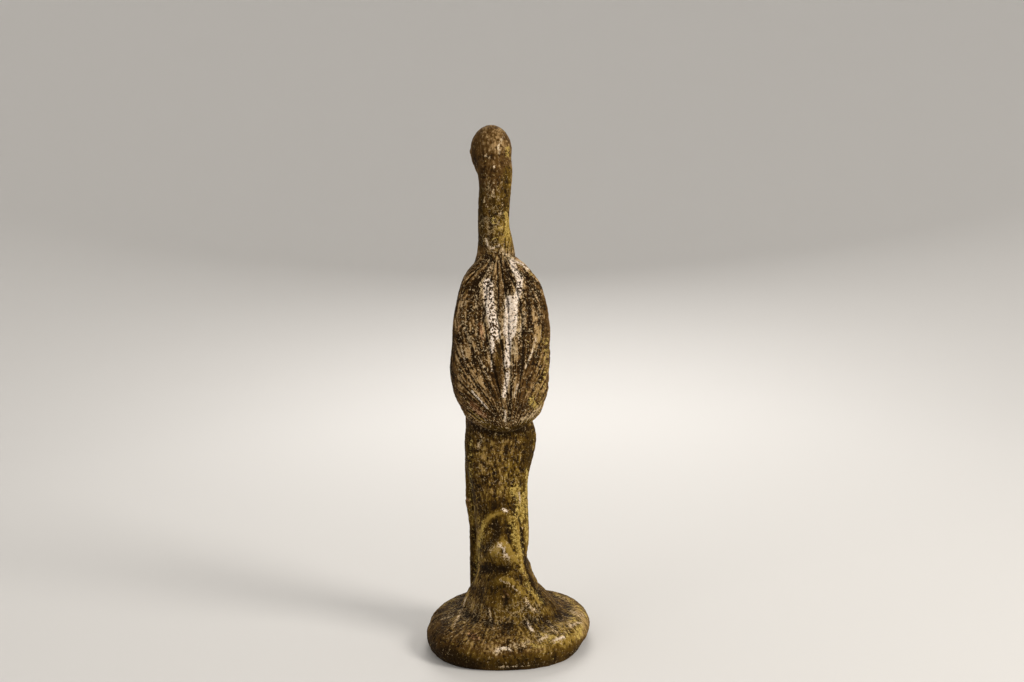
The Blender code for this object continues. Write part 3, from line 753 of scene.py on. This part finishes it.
LICHEN = (  # yellow-green crust
    (2.2, 0.95, (506, 214), (508, 224), (507, 237)),
    (2.8, 0.60, (503, 127), (509, 133)),
    (2.4, 0.66, (508, 148), (508, 156)),
    (4.0, 0.42, (494, 218), (500, 228), (496, 238)),
    (4.4, 0.60, (531, 400), (537, 410), (541, 404)),
    (3.6, 0.36, (546, 340), (546, 372), (540, 400)),
    (6.0, 0.78, (515, 490), (522, 500), (521, 516)),
    (2.2, 0.72, (527, 470), (527, 500), (527, 540)),
    (4.6, 0.55, (512, 520), (517, 540), (520, 555)),
    (3.2, 0.46, (520, 566), (531, 590), (542, 602)),
    (2.8, 0.48, (484, 522), (479, 545), (476, 575)),
    (2.8, 0.86, (556, 596), (566, 598), (580, 607), (586, 616)),
    (4.4, 0.78, (572, 618), (580, 626), (578, 634)),
    (3.8, 0.78, (545, 636), (556, 640), (566, 636)),
    (3.6, 0.44, (520, 640), (540, 646)),
    (2.8, 0.56, (518, 264), (526, 266), (531, 273)),
    (2.2, 0.36, (471, 440), (470, 470), (471, 520)),
    (2.6, 0.34, (468, 560), (462, 594), (448, 604)),
)
OLIVE = (  # moss
    (4.0, 0.60, (499, 340), (498, 372)),
    (5.0, 0.90, (467, 430), (467, 500), (470, 580)),
    (5.0, 0.90, (529, 430), (525, 500), (527, 560)),
    (8.0, 0.70, (515, 470), (520, 560)),
    (14.0, 0.55, (495, 520), (500, 560), (505, 600)),
    (8.0, 0.45, (541, 330), (540, 380), (530, 405)),
    (5.0, 0.85, (508, 170), (506, 200), (509, 245)),
    (7.0, 0.50, (498, 200), (497, 240)),
    (4.0, 0.55, (480, 190), (480, 240)),
    (4.0, 0.75, (472, 412), (492, 428), (510, 432), (530, 420)),
    (18.0, 0.50, (520, 600), (560, 640)),
    (6.0, 0.45, (455, 655), (500, 664), (550, 656)),
)
RUST = (  # reddish film
    (3.4, 0.80, (472, 404), (478, 411), (484, 415)),
    (4.4, 0.90, (518, 262), (527, 268)),
    (3.0, 0.60, (480, 324), (482, 338)),
    (3.0, 0.35, (462, 300), (458, 330)),
    (4.0, 0.50, (470, 634), (477, 638)),
    (5.0, 0.40, (505, 590), (508, 598)),
    (3.0, 0.50, (468, 500), (469, 506)),
    (2.6, 0.45, (492, 188), (494, 196)),
)
DARK_FILM_AND_SHADE = (  # thick film, and painted shade: under the tail and the ledges, in hollows and grooves, on the neck's and the base's left side
    # painted shadow under the tail
    (4.5, 0.75, (468, 423), (484, 431), (504, 434), (524, 428)),
    (6.0, 0.75, (473, 262), (462, 278), (456, 298), (455, 312)),
    (4.0, 0.40, (531, 270), (541, 288), (546, 305)),
    (10.0, 0.35, (482, 404), (500, 416), (518, 406)),
    (5.0, 0.35, (470, 452), (474, 500)),
    # this and the next: painted shade in the hollow between the left wing's edge band and the back
    (4.6, 1.00, (482, 276), (477, 290), (477, 305), (479, 320)),
    (4.0, 0.60, (474, 284), (469, 302), (472, 318)),
    (2.6, 0.80, (524, 268), (530, 277)),
    (2.8, 0.85, (529, 278), (530, 310), (527, 340), (519, 372)),
    (4.2, 0.45, (499, 342), (498, 365), (498, 395)),
    (3.2, 0.50, (485, 340), (484, 372), (492, 396)),
    # painted shade in the hollow under the first ledge
    (4.0, 0.75, (496, 522), (499, 530), (493, 541), (486, 556)),
    # painted shadow under the second ledge
    (3.4, 0.75, (480, 572), (490, 567), (505, 569)),
    # painted shade in the groove beside the reed
    (1.8, 1.45, (521, 530), (522, 548), (527, 574), (537, 593), (545, 604)),
    (3.6, 0.60, (473, 530), (474, 560), (471, 588)),
    # painted shade on the neck's left side
    (5.5, 0.70, (482, 172), (482, 205), (481, 245)),
    (7.0, 0.55, (493, 172), (493, 205), (492, 240)),
    (5.0, 0.40, (505, 172), (505, 195), (503, 212)),
    (3.0, 0.60, (474, 145), (474, 160), (480, 168)),
    (3.4, 0.60, (452, 330), (451, 370), (455, 396)),
    # painted shade on the base's left side and underside
    (16.0, 0.66, (436, 622), (440, 644), (456, 658)),
    (3.0, 0.50, (460, 598), (448, 606)),
    (4.6, 1.15, (488, 259), (478, 266), (469, 277), (463, 291)),
    (3.0, 1.10, (506, 264), (508, 280), (509, 296)),
    (3.0, 0.90, (526, 272), (533, 283), (539, 296)),
)
PITS = (  # pits in the bare cement
    (8.0, 1.0, (490, 264), (491, 300), (493, 340), (492, 372)),
    (5.0, 0.25, (514, 262), (519, 285), (512, 300), (511, 330)),
    (4.0, 0.55, (509, 335), (507, 365), (504, 396)),
    (4.0, 0.60, (520, 266), (520, 292)),
    (3.0, 0.80, (518, 335), (518, 355)),
)
VEINS = (  # thin pale lines
    (9.0, 0.75, (491, 186), (497, 212), (494, 240)),
    (9.0, 0.90, (486, 222), (492, 246), (508, 254)),
    (7.0, 0.80, (476, 268), (484, 262), (492, 262)),
    (16.0, 0.70, (455, 612), (490, 618), (530, 612)),
    (12.0, 0.70, (540, 640), (560, 630), (575, 615)),
    (9.0, 0.60, (492, 545), (508, 558)),
)
LIGHT_FILM_AND_HIGHLIGHT = (  # thin film, and painted highlight on the ledges' up-facing crests
    (1.8, 1.10, (475, 560), (478, 540), (482, 527), (490, 517), (502, 513)),
    (3.0, 0.55, (502, 513), (510, 520), (513, 535), (514, 552)),
    # painted highlight on the second ledge's crest
    (5.4, 1.0, (493, 552), (503, 545), (514, 556)),
    (1.8, 0.90, (490, 553), (480, 565), (474, 584)),
    (1.8, 0.50, (484, 560), (490, 553)),
    # painted highlight on the third ledge's crest
    (3.0, 0.70, (497, 582), (506, 579), (518, 588), (527, 600)),
    (2.0, 1.10, (519, 493), (521, 517), (518, 538), (522, 562), (530, 587), (539, 603)),
    (1.8, 0.85, (526, 525), (528, 552), (533, 575), (546, 594)),
    (9.0, 0.35, (480, 460), (490, 450), (505, 460), (510, 485), (490, 495)),
    (1.0, 0.95, (486, 262), (476, 269), (467, 280), (460, 296), (457, 316)),
    (1.5, 0.60, (474, 341), (477, 352)),
    (1.2, 0.50, (455, 370), (464, 391)),
    (1.2, 0.55, (464, 367), (476, 388), (488, 409)),
    (1.2, 0.50, (470, 360), (482, 380), (492, 402)),
    (1.5, 0.50, (536, 296), (539, 308)),
    (1.2, 0.45, (538, 372), (530, 390), (524, 398)),
    (2.0, 0.40, (546, 372), (542, 394)),
    (1.5, 0.95, (452, 628), (460, 611), (470, 590)),
    (1.4, 0.80, (469, 624), (474, 602)),
    (1.5, 0.75, (480, 628), (482, 604)),
    (1.6, 0.80, (494, 630), (496, 612)),
    (2.0, 0.50, (540, 620), (548, 628)),
    (5.0, 0.75, (556, 598), (572, 604), (584, 618), (582, 632), (568, 641)),
    (2.6, 0.35, (499, 282), (500, 300), (500, 330)),
    (5.0, 0.40, (548, 615), (560, 625)),
)
QUIET = (  # hardly mottled
    (5.0, 0.70, (499, 335), (498, 372), (497, 398)),
    (2.5, 0.40, (500, 270), (500, 335)),
    (6.0, 0.60, (545, 300), (548, 340), (547, 375), (540, 402)),
    (7.0, 0.50, (532, 356), (528, 385), (520, 405)),
    (4.0, 0.65, (455, 300), (452, 350), (456, 395), (465, 412)),
    (5.0, 0.40, (463, 385), (475, 405)),
    (5.0, 0.65, (481, 172), (480, 252)),
    (9.0, 0.35, (492, 170), (496, 205)),
    (6.0, 0.60, (474, 135), (473, 160), (480, 180)),
    (5.0, 0.75, (467, 430), (468, 520), (472, 592)),
    (5.0, 0.75, (529, 430), (526, 520), (532, 582)),
    (17.0, 0.55, (500, 512), (498, 560), (502, 604)),
    (9.0, 0.75, (430, 640), (455, 662), (520, 668), (560, 660), (586, 640)),
    (7.0, 0.50, (540, 596), (552, 612)),
    (8.0, 0.50, (436, 612), (430, 632)),
)


def marks(spots, strokes, facing):
    """Strength of the marks at each point, strongest where they lie, on the side that shows."""
    made = np.zeros(len(spots))
    for half, strength, *route in strokes:
        made = np.maximum(made, strength * bell(near(spots, route) / half, 1.0))
    return made * facing


def hollows_and_edges(mesh, steps):
    """How far each point stands proud of its smoothed surroundings, in metres, at a few widths."""
    p = points_of(mesh, "co")
    n = points_of(mesh, "normal")
    ends = np.empty(len(mesh.edges) * 2, int)
    mesh.edges.foreach_get("vertices", ends)
    a, b = ends.reshape(-1, 2).T
    count = np.bincount(a, minlength=len(p)) + np.bincount(b, minlength=len(p))
    smooth = p.copy()
    made = []
    for step in range(1, max(steps) + 1):
        total = np.empty_like(smooth)
        for axis in range(3):
            column = smooth[:, axis]
            total[:, axis] = np.bincount(a, column[b], len(p)) + np.bincount(b, column[a], len(p))
        smooth = 0.4 * smooth + 0.6 * total / count[:, None]
        if step in steps:
            made.append(np.sum((p - smooth) * n, axis=1))
    return made


def flow(p):
    """Places in which the finest marks run along the feathers, and down the trunk and the base."""
    t, angle = wing_place(p)
    row = feather_rows(t, np.abs(angle))
    along = np.column_stack([row * 0.022, np.sign(angle) * 0.5 + p[:, 2] * 0.15, p[:, 1] * 0.1])
    down = p * (1.0, 1.0, 0.30)
    turn, reach = round_trunk(p)
    outward = np.column_stack([np.cos(turn) * 0.100, np.sin(turn) * 0.100, (reach - p[:, 2]) * 0.24])
    made = np.where((p[:, 2] < 0.115 * HEIGHT)[:, None], outward, down)
    wing = (on_body(p, t) > 0.5) & (np.abs(angle) < wing_edge(t))
    return np.where(wing[:, None], along, made)


def weather(mesh):
    """Writes the masks of wear and growth, and of painted shade and highlight, on the mesh's points."""
    p = points_of(mesh, "co")
    n = points_of(mesh, "normal")
    spots = seen_at(p)
    back = n @ -AHEAD
    facing = ease(0.0, 0.25, back)
    hidden = 1 - ease(-0.25, 0.25, back)
    z = p[:, 2] / HEIGHT
    fine, wide = hollows_and_edges(mesh, (FINE, WIDE))
    # edge and proud drive painted highlight on edges and humps and painted shade in hollows
    layers = {"edge": np.clip(fine / FINE_PROUD, -1, 1), "proud": np.clip(wide / WIDE_PROUD, -1, 1)}

    # The side that the photograph doesn't show has the same kinds of growth, in streaks and patches
    streaks = cloud(p * (1.0, 1.0, 0.28), 42, 3, 21)
    patches = cloud(p, 30, 3, 25)
    shoulders = ease(0.56, 0.70, z) * (1 - ease(0.73, 0.80, z))
    low = 1 - ease(0.10, 0.30, z)
    unseen = {
        "pale": ease(0.56, 0.72, streaks) * (0.40 + 0.45 * shoulders),
        "lichen": ease(0.58, 0.72, patches) * (0.45 + 0.25 * low),
        "olive": ease(0.42, 0.66, cloud(p, 15, 3, 29)) * 0.8,
        "rust": ease(0.64, 0.76, cloud(p, 22, 3, 33)) * 0.6,
        "dark": ease(0.50, 0.70, cloud(p * (1.0, 1.0, 0.4), 28, 3, 37)) * 0.55,
        "veins": ease(0.52, 0.70, cloud(p, 18, 2, 41)) * 0.8,
        "pits": 0.7,
    }
    shown = (PALE, LICHEN, OLIVE, RUST, DARK_FILM_AND_SHADE, VEINS, PITS)
    for (name, elsewhere), strokes in zip(unseen.items(), shown):
        layers[name] = marks(spots, strokes, facing) + hidden * elsewhere
    # the dark layer: thick film and painted shade, less thin film and painted highlight
    layers["dark"] -= marks(spots, LIGHT_FILM_AND_HIGHLIGHT, facing)
    quiet = marks(spots, QUIET, facing) + hidden * ease(0.40, 0.60, cloud(p, 24, 2, 49)) * 0.5
    # foot: painted shade along the bottom of the base
    layers["foot"] = 1 - ease(0.010, 0.040, z + 0.012 * (cloud(p, 60, 3, 45) - 0.5))

    # By share of the height: how mottled the film is, its lightness, and its greenness
    levels = (0.0, 0.03, 0.06, 0.20, 0.41, 0.45, 0.72, 0.78, 0.87, 0.92, 1.0)
    by_height = {
        "busy": (0.35, 0.60, 0.85, 0.80, 0.80, 1.30, 1.30, 0.80, 0.70, 0.55, 0.50),
        "level": (0.0, -0.04, -0.06, -0.07, -0.08, -0.12, -0.10, 0.0, 0.0, -0.04, -0.02),
        "green": (0.60, 0.55, 0.60, 0.75, 0.70, 0.10, 0.10, 0.60, 0.55, 0.20, 0.15),
    }
    for name, values in by_height.items():
        layers[name] = np.interp(z, levels, values)
    layers["busy"] *= (1 - quiet) * (1 - 0.4 * np.clip(layers["dark"], 0, 1))
    for name, values in layers.items():
        layer = mesh.attributes.new(name, "FLOAT", "POINT")
        layer.data.foreach_set("value", values.astype(np.float32))
    layer = mesh.attributes.new("flow", "FLOAT_VECTOR", "POINT")
    layer.data.foreach_set("vector", flow(p).astype(np.float32).ravel())


class Nodes:
    """Short calls for the material's nodes."""

    def __init__(self, tree):
        self.tree = tree

    def add(self, kind, **settings):
        node = self.tree.nodes.new(kind)
        for key, value in settings.items():
            setattr(node, key, value)
        return node

    def put(self, value, socket):
        if isinstance(value, bpy.types.NodeSocket):
            self.tree.links.new(value, socket)
        else:
            socket.default_value = value

    def math(self, operation, a, b=0.0):
        node = self.add("ShaderNodeMath", operation=operation)
        self.put(a, node.inputs[0])
        self.put(b, node.inputs[1])
        return node.outputs[0]

    def times(self, a, b):
        return self.math("MULTIPLY", a, b)

    def ramp(self, value, low, high, to_low=0.0, to_high=1.0):
        node = self.add("ShaderNodeMapRange", interpolation_type="SMOOTHSTEP")
        for socket, given in zip(node.inputs, (value, low, high, to_low, to_high)):
            self.put(given, socket)
        return node.outputs[0]

    def mix(self, factor, a, b):
        node = self.add("ShaderNodeMix", data_type="RGBA", clamp_factor=True)
        self.put(factor, node.inputs["Factor"])
        self.put(a, node.inputs[6])
        self.put(b, node.inputs[7])
        return node.outputs[2]

    def noise(self, place, scale, detail, rough=0.6, warp=0.0):
        node = self.add("ShaderNodeTexNoise")
        self.put(place, node.inputs["Vector"])
        settings = {"Scale": scale, "Detail": detail, "Roughness": rough, "Distortion": warp}
        for key, value in settings.items():
            node.inputs[key].default_value = value
        return node.outputs["Fac"]

    def mask(self, name, output="Fac"):
        node = self.add("ShaderNodeAttribute", attribute_type="GEOMETRY", attribute_name=name)
        return node.outputs[output]


def rgb(red, green, blue):
    """A colour given as a screen shows it, in 0 to 255, as the renderer wants it."""
    shown = (red, green, blue)
    return (*(((c / 255 + 0.055) / 1.055) ** 2.4 if c > 10 else c / 255 / 12.92 for c in shown), 1.0)


def weathered_stone():
    """Cement under a dark film of growth, worn pale in streaks, with moss, lichen and mottling, painted
    shade in the hollows and painted highlight on the edges.
    """
    made = bpy.data.materials.new("weathered_stone")
    made.use_nodes = True
    tree = made.node_tree
    tree.nodes.clear()
    k = Nodes(tree)
    place = k.add("ShaderNodeTexCoord").outputs["Object"]
    lines = k.mask("flow", "Vector")
    masks = ("pale", "lichen", "olive", "rust", "dark", "veins", "pits", "edge", "proud", "foot")
    pale, lichen, olive, rust, dark, veins, pits, edge, proud, foot = (k.mask(name) for name in masks)
    busy, level, green = (k.mask(name) for name in ("busy", "level", "green"))
    broad = k.noise(place, 30.0, 3.0)
    streak = k.noise(lines, 300.0, 4.0, 0.55)
    mottle = k.noise(place, 230.0, 4.0, 0.60, 0.4)
    grain = k.noise(place, 720.0, 3.0, 0.65)
    specks = k.noise(place, 400.0, 2.0, 0.55)
    holes = k.noise(place, 330.0, 1.0, 0.5)

    def about(value, strength, middle=0.5):
        return k.times(k.math("SUBTRACT", value, middle), strength)

    def total(*values):
        made = values[0]
        for value in values[1:]:
            made = k.math("ADD", made, value)
        return made

    # The film of growth: lighter on the edges and humps and darker in the hollows, as painted highlight and
    # shade
    tone = total(about(streak, 2.3), about(mottle, 1.1), about(grain, 0.6), k.times(edge, 0.24))
    tone = total(k.times(tone, busy), about(broad, 0.8), k.times(proud, 0.10), level)
    # dark marks: thick film and painted shade; foot: painted shade along the bottom of the base
    tone = total(tone, k.times(dark, -0.40), k.times(foot, -0.24))
    film = k.mix(k.ramp(tone, -0.36, 0.08), rgb(34, 20, 4), rgb(86, 61, 28))
    film = k.mix(k.ramp(tone, 0.04, 0.44), film, rgb(172, 142, 98))

    # Moss, reddish film, thin pale lines and specks in it
    moss = k.mix(k.ramp(tone, -0.30, 0.10), rgb(38, 25, 5), rgb(84, 62, 16))
    moss = k.mix(k.ramp(tone, 0.04, 0.42), moss, rgb(144, 118, 52))
    grown = k.ramp(total(green, olive, about(mottle, 1.2)), 0.30, 0.95)
    film = k.mix(grown, film, moss)

    red = k.mix(k.ramp(tone, -0.2, 0.3), rgb(96, 62, 32), rgb(196, 152, 114))
    film = k.mix(k.ramp(total(rust, about(mottle, 1.4)), 0.28, 0.60, 0.0, 0.8), film, red)

    thin = k.math("ABSOLUTE", about(k.noise(place, 130.0, 3.0, 0.55, 0.3), 1.0))
    thin = k.ramp(thin, 0.006, 0.024, 1.0, 0.0)
    thin = k.times(thin, k.ramp(total(veins, about(grain, 1.2)), 0.30, 0.60))
    film = k.mix(k.times(thin, 0.75), film, rgb(178, 156, 116))

    tiny = k.ramp(total(specks, k.times(busy, 0.045)), 0.650, 0.690, 0.0, 0.80)
    film = k.mix(k.times(tiny, k.ramp(busy, 0.5, 1.2, 0.25, 1.0)), film, rgb(204, 182, 144))

    # Lichen
    crust = k.ramp(total(lichen, about(mottle, 2.2), about(grain, 1.6)), 0.42, 0.60)
    rough = k.ramp(total(about(grain, 2.0), about(mottle, 1.5)), -0.3, 0.4)
    film = k.mix(k.times(crust, 0.9), film, k.mix(rough, rgb(112, 88, 22), rgb(204, 178, 100)))

    # Bare cement, pitted, with a dark edge; duller where it is less worn
    bare = k.ramp(total(pale, about(streak, 1.7), about(mottle, 1.5), about(grain, 1.8)), 0.47, 0.58)
    hole = k.ramp(total(holes, k.times(pits, -0.15)), 0.340, 0.370)
    film = k.mix(k.times(bare, 0.85), film, rgb(52, 36, 20))
    bare = k.times(bare, hole)
    chalky = k.ramp(total(about(grain, 1.6), about(mottle, 1.5)), -0.3, 0.25)
    cement = k.mix(chalky, rgb(206, 185, 160), rgb(251, 238, 225))
    worn = k.ramp(total(about(mottle, 2.4), about(grain, 2.4)), -0.3, 0.3)
    dull = k.mix(worn, rgb(132, 106, 70), rgb(206, 182, 142))
    film = k.mix(bare, film, k.mix(k.ramp(pale, 0.50, 0.85), dull, cement))

    # Painted shade in the hollows
    sunk = total(k.times(edge, 0.6), k.times(proud, 0.45), about(mottle, 0.6))
    film = k.mix(k.ramp(sunk, -0.95, -0.10, 0.80, 0.0), film, rgb(26, 16, 6))

    shader = k.add("ShaderNodeBsdfPrincipled")
    k.put(film, shader.inputs["Base Color"])
    dry = k.ramp(total(about(grain, 1.0), about(bare, 0.3, 0.0)), -0.3, 0.5, 0.66, 0.95)
    k.put(dry, shader.inputs["Roughness"])
    shader.inputs["Specular IOR Level"].default_value = 0.05
    relief = k.times(total(about(grain, 0.8), about(mottle, 1.0), about(streak, 0.9)), busy)
    relief = total(relief, k.times(bare, 0.22))
    bump = k.add("ShaderNodeBump")
    bump.inputs["Strength"].default_value = 0.8
    bump.inputs["Distance"].default_value = 0.0012
    k.put(relief, bump.inputs["Height"])
    k.put(bump.outputs[0], shader.inputs["Normal"])
    k.put(shader.outputs[0], k.add("ShaderNodeOutputMaterial").inputs["Surface"])
    return made


def statue():
    trunk = blended(fused([base(), support(), body(), neck(), *head()]))
    mesh = fused([trunk, *leg(-1), *leg(1)])
    carve(mesh)
    mesh.calc_loop_triangles()
    ratio = min(1.0, TRIANGLES / len(mesh.loop_triangles))
    mesh = modified(mesh, ("DECIMATE", {"ratio": ratio, "use_collapse_triangulate": True}))
    cut_flat(mesh)
    weather(mesh)
    mesh.transform(Matrix.Translation((-FIGURE_ASIDE, -FIGURE_AHEAD, 0)))
    mesh.name = NAME
    mesh.materials.clear()
    mesh.materials.append(weathered_stone())
    mesh.shade_smooth()
    made = bpy.data.objects.new(NAME, mesh)
    bpy.context.scene.collection.objects.link(made)
    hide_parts("heron_statue")
    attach(made, "root")
    return made


def floor():
    """A plain pale floor that curves up all round into a plain wall."""
    reach, bend, height, sides = 1.9, 2.6, 3.6, 96
    profile = [(0.0, 0.0), (1.5, 0.0), (reach, 0.0)]
    bends = np.linspace(0.1, math.pi / 2, 14)
    profile += [(reach + bend * math.sin(a), bend - bend * math.cos(a)) for a in bends]
    profile += [(reach + bend, height)]
    mesh = bmesh.new()
    middle = mesh.verts.new((0, 0, 0))
    turns = [2 * math.pi * i / sides for i in range(sides)]
    rings = [[mesh.verts.new((r * math.cos(a), r * math.sin(a), z)) for a in turns] for r, z in profile[1:]]
    for i in range(sides):
        j = (i + 1) % sides
        mesh.faces.new((middle, rings[0][i], rings[0][j])).smooth = True
        for low, high in zip(rings, rings[1:]):
            mesh.faces.new((low[i], high[i], high[j], low[j])).smooth = True
    data = bpy.data.meshes.new("studio_floor")
    mesh.to_mesh(data)
    mesh.free()
    paper = bpy.data.materials.new("pale_floor")
    paper.use_nodes = True
    shader = paper.node_tree.nodes["Principled BSDF"]
    shader.inputs["Base Color"].default_value = (0.68, 0.685, 0.70, 1.0)
    shader.inputs["Roughness"].default_value = 0.85
    data.materials.append(paper)
    made = bpy.data.objects.new("studio_floor", data)
    bpy.context.scene.collection.objects.link(made)


def light(name, place, aim, size, power, colour=(1.0, 1.0, 1.0)):
    data = bpy.data.lights.new(name, "AREA")
    data.shape = "DISK"
    data.size = size
    data.energy = power
    data.color = colour
    made = bpy.data.objects.new(name, data)
    made.matrix_world = looking(place, aim)
    bpy.context.scene.collection.objects.link(made)


def looking(place, aim):
    """Where a camera or a lamp stands when it looks from place at aim."""
    way = Vector(aim) - Vector(place)
    return Matrix.Translation(place) @ way.to_track_quat("-Z", "Y").to_matrix().to_4x4()


def camera():
    data = bpy.data.cameras.new("camera")
    data.sensor_width = 36.0
    data.lens = FOCAL / FRAME[0] * data.sensor_width
    made = bpy.data.objects.new("camera", data)
    made.matrix_world = looking(CAMERA, CAMERA + AHEAD) @ Matrix.Rotation(-ROLL, 4, "Z")
    bpy.context.scene.collection.objects.link(made)
    bpy.context.scene.camera = made


def studio():
    world = bpy.data.worlds.new("studio")
    world.use_nodes = True
    world.node_tree.nodes["Background"].inputs["Color"].default_value = (1.0, 0.93, 0.82, 1.0)
    world.node_tree.nodes["Background"].inputs["Strength"].default_value = 0.50
    bpy.context.scene.world = world
    middle = (0, 0, 0.4)
    light("key", (-2.0, 2.0, 2.1), middle, 1.2, 76, (1.0, 0.93, 0.83))
    light("fill", (2.2, 1.4, 1.2), middle, 1.6, 9, (1.0, 0.94, 0.85))
    light("front", (-0.6, -2.2, 1.7), middle, 1.4, 34, (1.0, 0.95, 0.88))
    bpy.context.scene.view_settings.view_transform = "Standard"


statue()
floor()
camera()
studio()
